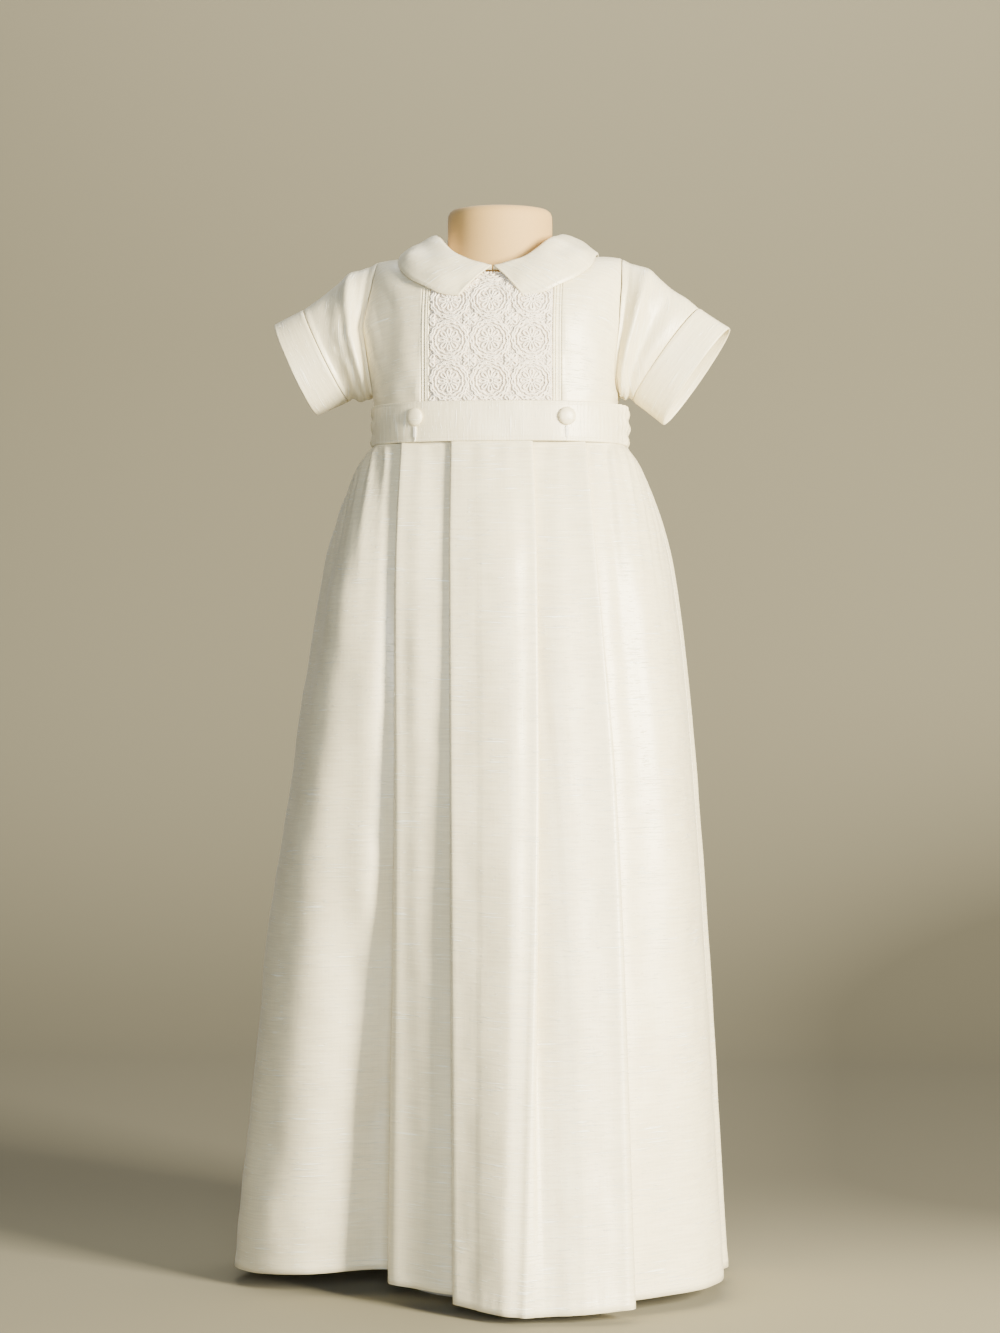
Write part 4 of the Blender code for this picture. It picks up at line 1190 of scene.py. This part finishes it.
def make_cuff(name, side, seam, end, turns):
    """The turned-up cuff, and the line of its stitches."""
    away = (end - seam).mean(axis=0)
    away /= np.linalg.norm(away)
    steps = stepped(0, (0.08, 4), (0.92, 19), (1, 6))
    grid = np.array([seam * (1 - t) + end * t + away * 0.5 * (1 - t) for t in steps])
    far = np.minimum(steps, 1 - steps)[:, None] * CUFF_LENGTH
    wave = 0.25 * ripple(turns * 20, steps[:, None] * 26, 3.3 + side, 34)
    groove = -0.3 * bump_at(steps[:, None] * CUFF_LENGTH, 2.4, 0.5)
    grid = grid + normals_of(grid, True) * -side * (wave + groove)[..., None]
    wall = round_edged(DOUBLED_WALL, far, PRESSED_EDGE)
    cuff = shell(f"cuff_{name}_cloth", grid, wall, CUFF_CLOTH, closed=True, outer=-side)
    out = normals_of(grid, True)[CUFF_STITCH_ROW + 1] * -side
    return worn(cuff, f"cuff_{name}"), grid[CUFF_STITCH_ROW] + out * 0.8


def make_sleeves():
    made = []
    turns = 2 * math.pi * np.arange(SLEEVE_AROUND) / SLEEVE_AROUND
    for name, side in SIDES:
        s = SLEEVES[name]
        shared = (s["half_depth"], s["back_drop"], SLEEVE_AROUND)
        armhole = armhole_ring(side, SLEEVE_AROUND, 0.9)
        armhole[:, 0] += armhole_shift(side, armhole[:, 2])
        seam = cuff_ring(side, s["seam_top"], s["seam_bottom"], *shared)
        end = cuff_ring(side, s["end_top"], s["end_bottom"], *shared)
        sleeve, sleeve_line = make_sleeve(name, side, armhole, seam, turns)
        cuff, cuff_line = make_cuff(name, side, seam, end, turns)
        stitches(f"sleeve_{name}_stitches", [(sleeve_line, True)])
        stitches(f"cuff_{name}_stitches", [(cuff_line, True)])
        made += [sleeve, cuff]
    return made


# Waistbands, buttons and thread buttonholes


BAND_COUNT = 420
BAND_MIDDLE_ROW = 10
BAND_STITCH_ROWS = (3, -4)
BAND_STITCH_OUT = 0.72
CASING_COUNT = 260
CASING_LEVELS = (
    # z, how far out of the waist's section
    (585.0, -8.0),
    (590.0, -5.6),
    (594.0, -3.6),
    (599.0, -1.8),
    (603.7, -0.6),
)


def band_grid(levels, count):
    rows = []
    for z, grow in levels:
        ring = [waist_point(turn, z, grow) for turn in np.linspace(-179.98, 179.98, 721)]
        rows.append(resample(np.array(ring), count))
    return np.array(rows)


def make_skirt_waistband():
    """Smooth across the front, and gathered on elastic from the side seams round the back."""
    heights = stepped(BAND_BOTTOM_Z, (587, 5), (609.6, 15), (BAND_TOP_Z, 5))
    grid = band_grid([(z, 1.25) for z in heights], BAND_COUNT)
    far = np.minimum(heights - BAND_BOTTOM_Z, BAND_TOP_Z - heights)[:, None]
    run = lengths(grid)[0].mean(axis=0)[None, :]
    back = soft_step(grid[..., 1], -36, -4)
    up = (heights - BAND_BOTTOM_Z)[:, None] / (BAND_TOP_Z - BAND_BOTTOM_Z)
    gathers = back * (
        1.4 * np.sin(run * 2 * math.pi / 7.3 + 0.8 * np.sin(run / 9))
        + 0.5 * np.sin(run * 2 * math.pi / 3.9 + up * 2)
        + 0.8 * np.sin(up * 2 * math.pi * 2.6 + 0.9 * np.sin(run / 6)) * soft_step(far, 0.5, 3)
    )
    press = -0.25 * bump_at(far, 2.0, 0.45) * (1 - back)
    soft = 0.55 * ripple(run * np.ones_like(up), up * 27, 4.1, 42)
    grid = grid + normals_of(grid) * (gathers + press + soft)[..., None]
    across, length = lengths(grid)
    uv = np.stack([np.broadcast_to(run, across.shape), length], axis=2)
    wall = round_edged(DOUBLED_WALL, far, PRESSED_EDGE)
    band = worn(shell("skirt_waistband_cloth", grid, wall, BAND_CLOTH, uv=uv), "skirt_waistband")
    front = grid[BAND_MIDDLE_ROW, :, 1] < -16
    normals = normals_of(grid)
    rows = [grid[row, front] + normals[row, front] * BAND_STITCH_OUT for row in BAND_STITCH_ROWS]
    stitches("skirt_waistband_stitches", [(row, False) for row in rows])
    return band


def make_romper_waistband():
    grid = band_grid(CASING_LEVELS, CASING_COUNT)
    run = lengths(grid)[0].mean(axis=0)[None, :]
    grid = grid + normals_of(grid) * (0.3 * np.sin(run * 2 * math.pi / 6))[..., None]
    return worn(shell("romper_waistband_cloth", grid, CLOTH_WALL, BAND_CLOTH), "romper_waistband")


BUTTON_TURNS = 40
BUTTON_PLEATS = 16
BUTTON_PROFILE = (
    # share of the radius, share of the height
    (0.02, 1.0), (0.25, 0.985), (0.5, 0.93), (0.7, 0.83), (0.85, 0.68), (0.95, 0.48),
    (1.0, 0.27), (0.97, 0.1), (0.85, 0.0), (0.02, 0.0),
)


def button_cover(name, radius, height, place, normal, upward):
    """A cloth-covered button: a domed top, a finely pleated edge and a flat back."""
    place = np.array(place)
    normal = np.array(normal, float) / np.linalg.norm(normal)
    across = np.cross(upward, normal)
    across /= np.linalg.norm(across)
    up = np.cross(normal, across)
    verts, uvs, faces = [], [], []
    for share, lift in BUTTON_PROFILE:
        for k in range(BUTTON_TURNS):
            a = 2 * math.pi * k / BUTTON_TURNS
            r = radius * share * (1 + 0.012 * math.cos(BUTTON_PLEATS * a) * (share > 0.8))
            x, y = r * math.cos(a), r * math.sin(a)
            verts.append(place + normal * (height * lift) + across * x + up * y)
            uvs.append((x, y + height * lift * 0.5))
    top, bottom = len(verts), len(verts) + 1
    verts += [place + normal * height, place]
    uvs += [(0.0, 0.0), (0.0, 0.0)]
    last = (len(BUTTON_PROFILE) - 1) * BUTTON_TURNS
    for k in range(BUTTON_TURNS):
        m = (k + 1) % BUTTON_TURNS
        for j in range(0, last, BUTTON_TURNS):
            faces.append((j + k, j + BUTTON_TURNS + k, j + BUTTON_TURNS + m, j + m))
        faces += [(top, k, m), (bottom, last + m, last + k)]
    mesh = bpy.data.meshes.new(name)
    mesh.from_pydata([tuple(v * MM) for v in verts], [], faces)
    layer = mesh.uv_layers.new(name="cloth")
    for corner in mesh.loops:
        layer.data[corner.index].uv = np.array(uvs[corner.vertex_index]) * MM
    mesh.shade_smooth()
    mesh.materials.append(CLOTH)
    cover = bpy.data.objects.new(name, mesh)
    bpy.context.scene.collection.objects.link(cover)
    return cover


def band_surface(x, z, out):
    """A point on the front of the waistband, and its outward direction."""
    grow = 0.5 + 1.5 + out
    slope = front_depth_at(x + 0.5, grow) - front_depth_at(x - 0.5, grow)
    normal = np.array([-slope, -1.0, 0.0])
    return np.array([x, -front_depth_at(x, grow), z]), normal / np.linalg.norm(normal)


BAR_TOP_DROP = 7.2
BAR_PITCH = 0.66
BAR_COUNT = 11
EDGE_TOP_DROP = 6.6
TAIL_TOP_DROP = 14.0
TAIL_PITCH = 0.8


def buttonhole(x):
    """The thread buttonhole below a button: crosswise bars, two lengthwise edges and a loose tail."""
    out = band_surface(x, BUTTON_Z, 0.35)[1]
    across = np.cross((0, 0, 1.0), out)
    lines = []
    for k in range(BAR_COUNT):
        middle, normal = band_surface(x, BUTTON_Z - BAR_TOP_DROP - k * BAR_PITCH, 0.0)
        half = 1.25 if 0 < k < BAR_COUNT - 1 else 0.8
        places = (-1, -0.5, 0, 0.5, 1)
        lines.append([middle + across * (half * t) + normal * (0.35 + 0.4 * (1 - t * t)) for t in places])
    for t in (-0.5, 0.5):
        edge = [band_surface(x, BUTTON_Z - EDGE_TOP_DROP - k, 0.0)[0] for k in range(8)]
        lines.append([point + across * t + out * 0.8 for point in edge])
    tail = [band_surface(x, BUTTON_Z - TAIL_TOP_DROP - k * TAIL_PITCH, 0.0)[0] for k in range(4)]
    lines.append([p + across * (0.4 * math.sin(k * 1.3)) + out * 0.45 for k, p in enumerate(tail)])
    return [(line, False) for line in lines]


BACK_BUTTON_RISES = (0.2, 0.45, 0.7)
BACK_BUTTON_SIZE = 0.7


def make_buttons():
    for name, side in SIDES:
        place, normal = band_surface(side * BUTTON_X, BUTTON_Z, 0.35)
        cover = button_cover(f"button_{name}_cover", BUTTON_RADIUS, BUTTON_HEIGHT, place, normal, (0, 0, 1))
        worn(cover, f"button_{name}")
        laid_along(
            f"buttonhole_{name}_thread", buttonhole(side * BUTTON_X), CORD_TREE, THREAD, "buttons",
            Radius=0.00042, Spacing=0.0006,
        )
    radius, height = BUTTON_RADIUS * BACK_BUTTON_SIZE, BUTTON_HEIGHT * BACK_BUTTON_SIZE
    for number, rise in enumerate(BACK_BUTTON_RISES, 1):
        rise *= neckline_rise(0.0, True)
        place = torso_point(0.0, rise, 0.45, True)
        along = torso_point(0.0, rise + 0.02, 0.0, True) - torso_point(0.0, rise - 0.02, 0.0, True)
        normal = (0.0, along[2], -along[1])
        cover = button_cover(f"back_button_{number}_cover", radius, height, place, normal, (1, 0, 0))
        worn(cover, f"back_button_{number}")


# Skirt


FRONT_ROWS, BACK_ROWS = 158, 130
BACK_COUNT = 150
BACK_CLOTH_HEIGHT = 576.0
HEM_DEPTH = 8.0
HEM_STITCH_OUT = 0.45
HEM_SAMPLE_COLUMN = 60
CENTRE_CREASE, INNER_CREASE = 19, 22


def skirt_shares(count):
    """Shares of the way down the skirt, closer together below the waistband and at the hem."""
    t = np.linspace(0, 1, count)
    return 0.62 * t ** 1.7 + 0.38 * (1 - (1 - t) ** 1.6) * t ** 0.4


def drape(ring_at, shares, extra):
    """A grid of points from the rings at each share of the way down, with the cloth's own folds."""
    rows = np.array([ring_at(SKIRT_TOP_Z + (HEM_Z - SKIRT_TOP_Z) * share) for share in shares])
    z = SKIRT_TOP_Z + (rows[..., 2] - SKIRT_TOP_Z) * shares[:, None]
    grid = np.stack([rows[..., 0], rows[..., 1], z], axis=2)
    flat = grid.copy()
    flat[..., 2] = 0
    ahead = np.gradient(flat, axis=1)
    out = np.stack([ahead[..., 1], -ahead[..., 0]], axis=2)
    out /= np.maximum(np.linalg.norm(out, axis=2, keepdims=True), 1e-9)
    grid[..., :2] += out * extra(rows, grid[..., 0], z)[..., None]
    return rows, grid


SKIRT_FOLDS = (
    # the panel that a soft fold is on, and down its course z, x, half width and height in millimetres
    (-2, ((540, -68, 8, 0.0), (420, -76, 14, 5.0), (290, -80, 16, 8.0), (130, -76, 12, 0.0))),
    (-2, ((548, -86, 10, 2.0), (440, -101, 19, 7.0), (270, -122, 28, 10.0), (20, -146, 32, 9.0))),
    (-2, ((566, -100, 6, -2.0), (480, -122, 9, -4.0), (350, -141, 11, -3.0), (260, -150, 12, 0.0))),
    (-2, ((330, -67, 9, 0.0), (210, -71, 12, -3.0), (110, -76, 17, -6.0), (10, -80, 20, -7.5))),
    (-1, ((560, -52, 14, 1.2), (400, -52, 18, 2.2), (250, -50, 18, 1.8), (120, -44, 14, 0.0))),
    (-1, ((260, -34, 14, 0.0), (130, -30, 17, 3.0), (10, -25, 18, 5.5))),
    (-1, ((585, -48, 2.0, 1.4), (550, -47, 5.0, 0.0))),
    (0, ((570, 20, 16, 1.0), (430, 24, 20, 2.8), (250, 28, 22, 3.8), (10, 27, 22, 4.0))),
    (0, ((585, -2, 2.0, 1.3), (550, -1, 5.0, 0.0))),
    (1, ((585, 38, 2.0, 1.2), (545, 40, 5.0, 0.0))),
    (2, ((585, 77, 2.0, 1.6), (540, 80, 6.0, 0.0))),
    (2, ((585, 84, 2.0, 1.6), (530, 92, 6.0, 0.0))),
    (1, ((560, 44, 8, 1.0), (430, 50, 12, 2.4), (250, 58, 15, 2.0), (10, 68, 18, 2.8))),
    (2, ((566, 76, 6, -1.2), (470, 92, 9, -2.2), (300, 108, 14, -2.6), (10, 122, 20, -1.8))),
    (2, ((560, 83, 5, 1.4), (470, 104, 8, 2.2), (300, 124, 10, 2.2), (10, 142, 12, 2.2))),
)


def fold_lift(panel, x, z):
    """The height of the soft folds over the skirt at x and z."""
    total = np.zeros_like(z)
    for fold_panel, course in SKIRT_FOLDS:
        levels, *values = np.array(course[::-1], float).T
        middle, width, size = (np.interp(z, levels, v) for v in values)
        total += (panel == fold_panel) * size * bump_at(x, middle, width)
    return total


def panel_widths(panel, place):
    """The width of the panel that each point is on, at its own height, and 0 in the pleats."""
    width = np.zeros_like(place)
    for value in (0, 1, -1, 2, -2):
        on_panel = panel == value
        for j in range(len(place)):
            if on_panel[j].any():
                width[j, on_panel[j]] = place[j, on_panel[j]].max()
    return width


def hem_lift(hem_above, place, fold, pucker):
    """The doubled cloth of the hem, and the puckers along its stitches."""
    doubled = 1 - soft_step(hem_above, HEM_DEPTH - 0.6, HEM_DEPTH + 0.6)
    return fold * doubled + pucker * np.sin(place) * bump_at(hem_above, HEM_DEPTH, 5)


def front_lift(rows, x, z):
    """Gathers, soft folds, pressed lines and hem puckers of the skirt front."""
    panel, place = rows[..., 4], rows[..., 3]
    visible = (np.abs(panel) < 5).astype(float)
    side_panel = np.abs(panel) == 2
    below = SKIRT_TOP_Z - z
    width = panel_widths(panel, place)
    share = np.where(width > 0, place / np.maximum(width, 1), 0)
    taper = soft_step(np.minimum(share, 1 - share) * 2, 0.02, 0.5) * visible
    free = np.where(side_panel, soft_step(place, 14, 36) * soft_step(1 - share, 0.0, 0.12), taper)
    gathers = np.exp(-below / 42) * soft_step(below, 0, 6)
    gathers = gathers * (1.5 * np.sin(place / 2.1 + 0.6 * panel) + 0.8 * np.sin(place / 1.17))
    puckers = np.exp(-below / 26) * soft_step(below, 0, 5) * 0.5 * np.sin(place / 2.7 + panel)
    large = ripple(place, z, 0.7 + 0.31 * panel, 95) * np.where(panel == -2, 1.3, 0.5)
    small = ripple(place, z, 2.9 + 0.2 * panel, 34) * 0.28
    crease = np.where(panel == 0, CENTRE_CREASE, INNER_CREASE)
    ghost = 0.22 * np.tanh((place - crease) / 0.8) * (np.abs(panel) <= 1)
    hem_above = z - rows[..., 2]
    lift = side_panel * free * gathers + (~side_panel) * taper * puckers
    lift += free * large * soft_step(below, 10, 90) + free * small * soft_step(below, 4, 40)
    lift += fold_lift(panel, x, z) * free * soft_step(below, 4, 50)
    lift += hem_lift(hem_above, place / 1.15 + panel, 0.28 * visible, 0.16 * taper)
    return lift + ghost * taper * soft_step(below, 30, 120)


def back_lift(rows, z, side):
    """Gathers on the elastic, soft folds and the hem of a skirt back."""
    below = SKIRT_TOP_Z - z
    place = rows[..., 3]
    share = place / place.max(axis=1)[:, None]
    fade = soft_step(share, 0, 0.22) * soft_step(1 - share, 0, 0.05)
    gathers = 1.5 * np.sin(share * 2 * math.pi * 19 + 1.2 * np.sin(share * 17))
    gathers = gathers * np.exp(-below / 120) * soft_step(below, -2, 8)
    soft = ripple(place, z, 1.1 + side, 80) * 1.1 * soft_step(below, 10, 90)
    return ((gathers + soft) * fade + hem_lift(z - rows[..., 2], place / 1.2, 0.25, 0.14)) * side


def skirt_uv(grid, shares, height):
    """Cloth places that keep the weave level and even, measured along the hem."""
    across = np.broadcast_to(lengths(grid[::-1])[0].mean(axis=0), grid.shape[:2])
    return np.stack([across, np.broadcast_to(height * (1 - shares)[:, None], grid.shape[:2])], axis=2)


def hem_line(grid, outer):
    """The line of the hem's stitches, just over the cloth."""
    rise = np.abs(grid[:, HEM_SAMPLE_COLUMN, 2] - grid[-1, HEM_SAMPLE_COLUMN, 2] - HEM_DEPTH)
    level = int(np.argmin(rise))
    return grid[level] + normals_of(grid)[level] * outer * HEM_STITCH_OUT


def make_skirt_front():
    shares = skirt_shares(FRONT_ROWS)
    rows, grid = drape(skirt_front_ring, shares, front_lift)
    uv = skirt_uv(grid, shares, SKIRT_TOP_Z - HEM_Z)
    front = worn(shell("skirt_front_cloth", grid, CLOTH_WALL, CLOTH, outer=-1, uv=uv), "skirt_front")
    line = hem_line(grid, -1)
    seen = np.abs(rows[-1, :, 4]) < 5
    ends = np.flatnonzero(np.diff(seen)) + 1
    runs = [run for run, kept in zip(np.split(line, ends), np.split(seen, ends)) if kept[0]]
    stitches("skirt_front_hem_stitches", [(run, False) for run in runs if len(run) > 3])
    return front


def make_skirt_back(name, side):
    shares = skirt_shares(BACK_ROWS)
    _, grid = drape(
        lambda z: back_ring(z, side, BACK_COUNT), shares, lambda rows, x, z: back_lift(rows, z, side))
    grid += (side * 0.2, 0.9, 0.0)
    uv = skirt_uv(grid, shares, BACK_CLOTH_HEIGHT)
    piece = shell(f"skirt_back_{name}_cloth", grid, CLOTH_WALL, CLOTH, outer=-side, uv=uv)
    worn(piece, f"skirt_back_{name}")
    stitches(f"skirt_back_{name}_hem_stitches", [(hem_line(grid, -side), False)])
    return piece


# The romper's lower half


LOWER_TOP_Z, LOWER_LEG_Z = 584.6, 445.0
LOWER_ROWS, LOWER_COUNT = 60, 110
LOWER_HEM_ROW = -4
TAB_DROP, TAB_HALF_WIDTH = 38.0, 26.0


def make_romper_lower(name, back):
    """Half of the romper's lower part, which runs down into a crotch tab."""
    heights = np.linspace(LOWER_TOP_Z, LOWER_LEG_Z, LOWER_ROWS)
    angle = np.radians(np.linspace(-90, 90, LOWER_COUNT))
    rows = []
    for z in heights:
        half_width, half_depth = interpolate(ROMPER_SECTIONS, z)
        x = half_width * np.sign(np.sin(angle)) * np.abs(np.sin(angle)) ** (2 / PLAN_POWER)
        y = half_depth * np.abs(np.cos(angle)) ** (2 / PLAN_POWER) + SHOULDER_FLAT
        share = (LOWER_TOP_Z - z) / (LOWER_TOP_Z - LOWER_LEG_Z)
        tab = TAB_DROP * share ** 3 * np.exp(-((x / TAB_HALF_WIDTH) ** 4))
        rows.append(np.stack([x, y if back else -y, z - tab], axis=1))
    grid = np.array(rows)
    outer = 1 if back else -1
    run = lengths(grid)[0].mean(axis=0)[None, :]
    below = (LOWER_TOP_Z - heights)[:, None]
    fade = np.minimum(1, np.minimum(run, run.max() - run) / 14)
    gathers = 0.7 * np.sin(run / 2.3) * np.exp(-below / 30)
    lift = fade * (gathers + 0.5 * ripple(run + 0 * below, below + 0 * run, 1.9, 60))
    grid = grid + normals_of(grid) * outer * lift[..., None]
    piece = shell(f"romper_lower_{name}_cloth", grid, CLOTH_WALL, CLOTH, outer=outer)
    worn(piece, f"romper_lower_{name}")
    hem = grid[LOWER_HEM_ROW] + normals_of(grid)[LOWER_HEM_ROW] * outer * HEM_STITCH_OUT
    stitches(f"romper_lower_{name}_stitches", [(hem, False)])
    return piece


# Dress form and stand


FORM_SECTIONS = (
    # z, half width, half depth
    (440.0, 52.0, 36.0),
    (441.5, 62.0, 46.0),
    (448.0, 71.0, 54.0),
    (465.0, 78.0, 60.0),
    (500.0, 81.5, 63.0),
    (545.0, 79.5, 58.0),
    (584.0, 75.0, 53.5),
)
FORM_RISES = [*np.linspace(0.06, 0.9, 24), 0.93, 0.96, 0.98, 0.995]
FORM_INSET = -3.7
FORM_NARROW = 0.965
FORM_COUNT, NECK_COUNT = 61, 96
NECK_PROFILE = (
    # radius, z
    (0.05, NECK_TOP_Z), (16.0, NECK_TOP_Z), (30.5, NECK_TOP_Z), (33.4, 749.4), (35.4, 747.8),
    (36.4, 745.2), (NECK_RADIUS, 741.0), (NECK_RADIUS, 734.0), (36.6, 727.0), (37.2, 721.0),
    (38.4, 714.0), (39.5, 706.0), (39.5, 692.0), (0.05, 692.0),
)


def form_ring(point_at):
    """A ring of the form, along its front and then along its back."""
    turns = np.linspace(-90, 90, FORM_COUNT)
    return [point_at(t, False) for t in turns] + [point_at(t, True) for t in turns[::-1][1:-1]]


def hip_point(turn, back, z, half_width, half_depth):
    angle = math.radians(turn)
    y = half_depth * abs(math.cos(angle)) ** (2 / PLAN_POWER)
    return (half_width * power_of(math.sin(angle), 2 / PLAN_POWER), y if back else -y, z)


def chest_point(turn, back, rise):
    x, y, z = torso_point(turn, rise, FORM_INSET)
    y = min(-0.05, y + SHOULDER_FLAT)
    return (x * FORM_NARROW, -y if back else y, z)


def make_form_body():
    rows = [form_ring(lambda turn, back: hip_point(turn, back, *section)) for section in FORM_SECTIONS]
    rows += [form_ring(lambda turn, back: chest_point(turn, back, rise)) for rise in FORM_RISES]
    body = shell("form_jersey_body", rows, 0.6, JERSEY, closed=True)
    worn(body, "form_body")


def make_form_neck():
    turns = np.linspace(0, 2 * math.pi, NECK_COUNT, endpoint=False)
    rings = [
        np.stack([radius * np.cos(turns), radius * np.sin(turns), np.full(NECK_COUNT, z)], axis=1)
        for radius, z in NECK_PROFILE
    ]
    worn(shell(
        "form_jersey_neck", rings, 0.3, JERSEY, closed=True, outer=-1, shift=-0.15))


def paint_stand():
    for node in ("stand_pole", "stand_base"):
        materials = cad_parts[node].data.materials
        materials.clear()
        materials.append(PAINT)


# Paper, lights and camera; the paper's sizes are in millimetres, the lights and camera in metres


PAPER_HALF_WIDTH = 3200.0
PAPER_FRONT, PAPER_BEND, PAPER_TOP = -2600, 1300, 3200
PAPER_BEND_RADIUS = 900
PAPER_BELOW_FLOOR = 0.2
LIGHTS_AIM = (0, 0, 0.4)
WARM, COOL, WHITE = (1.0, 0.937, 0.77), (0.82, 0.9, 1.0), (1, 1, 1)
PICTURE_HEIGHT_PIXELS = 1333
MM_PER_PIXEL = 0.7
SENSOR_HEIGHT = 36.0


def make_paper():
    """A paper sweep that runs from under the garment up behind it."""
    sweep = [(y, 0.0) for y in np.linspace(PAPER_FRONT, PAPER_BEND, 20)]
    for a in np.linspace(0, math.pi / 2, 24):
        sweep.append((PAPER_BEND + PAPER_BEND_RADIUS * math.sin(a), PAPER_BEND_RADIUS * (1 - math.cos(a))))
    wall = PAPER_BEND + PAPER_BEND_RADIUS
    sweep += [(wall, z) for z in np.linspace(1000, PAPER_TOP, 8)]
    verts = [
        (x * MM, y * MM, (z - PAPER_BELOW_FLOOR) * MM)
        for x in (-PAPER_HALF_WIDTH, PAPER_HALF_WIDTH) for y, z in sweep
    ]
    count = len(sweep)
    faces = [(count + k, count + k + 1, k + 1, k) for k in range(count - 1)]
    mesh = bpy.data.meshes.new("paper_sweep")
    mesh.from_pydata(verts, [], faces)
    mesh.shade_smooth()
    mesh.materials.append(paper())
    sweep_object = bpy.data.objects.new("paper_sweep", mesh)
    bpy.context.scene.collection.objects.link(sweep_object)


def area_light(name, place, aim, size, power, colour=WHITE):
    lamp = bpy.data.lights.new(name, "AREA")
    lamp.shape = "RECTANGLE"
    lamp.size, lamp.size_y = size
    lamp.energy = power
    lamp.color = colour
    made = bpy.data.objects.new(name, lamp)
    made.location = place
    made.rotation_euler = (Vector(aim) - Vector(place)).to_track_quat("-Z", "Y").to_euler()
    bpy.context.scene.collection.objects.link(made)


def make_lights():
    """A warm key from the wearer's left, a weak cool fill, and soft light over the paper."""
    area_light("key", (1.86, -1.58, 0.85), LIGHTS_AIM, (0.6, 1.0), 350, WARM)
    area_light("fill", (0.25, -2.9, 0.8), LIGHTS_AIM, (0.9, 1.1), 70, COOL)
    area_light("top", (0.2, -0.1, 2.4), (0, 0, 0.3), (1.4, 1.4), 8)
    area_light("backdrop", (0.0, 0.9, 2.4), (0, 2.2, 0.9), (2.0, 0.8), 70)
    world = bpy.data.worlds.new("studio")
    world.use_nodes = True
    colour, strength = world.node_tree.nodes["Background"].inputs[:2]
    colour.default_value = (0.66, 0.8, 1.0, 1)
    strength.default_value = 0.1
    bpy.context.scene.world = world


def make_camera():
    """Level with the middle of the skirt, six degrees round to the wearer's left."""
    away, azimuth = 2.3, math.radians(6.0)
    aim = Vector((0.0, 0.0, 0.431))
    camera = bpy.data.cameras.new("camera")
    camera.sensor_fit = "VERTICAL"
    camera.sensor_height = SENSOR_HEIGHT
    camera.lens = SENSOR_HEIGHT * away / (PICTURE_HEIGHT_PIXELS * MM_PER_PIXEL * MM)
    made = bpy.data.objects.new("camera", camera)
    direction = Vector((math.sin(azimuth), -math.cos(azimuth), 0.0))
    made.location = aim + direction * away
    made.rotation_euler = (-direction).to_track_quat("-Z", "Y").to_euler()
    bpy.context.scene.collection.objects.link(made)
    bpy.context.scene.camera = made


make_camera()
bodice = make_bodice()
lace_ground, lace_cords = make_lace()
collars = make_collar()
sleeves = make_sleeves()
bands = [make_skirt_waistband(), make_romper_waistband()]
make_buttons()
skirt_front = make_skirt_front()
skirt_backs = [make_skirt_back(name, side) for name, side in SIDES]
lowers = [make_romper_lower("front", False), make_romper_lower("back", True)]
make_form_body()
make_form_neck()
paint_stand()
make_paper()
make_lights()
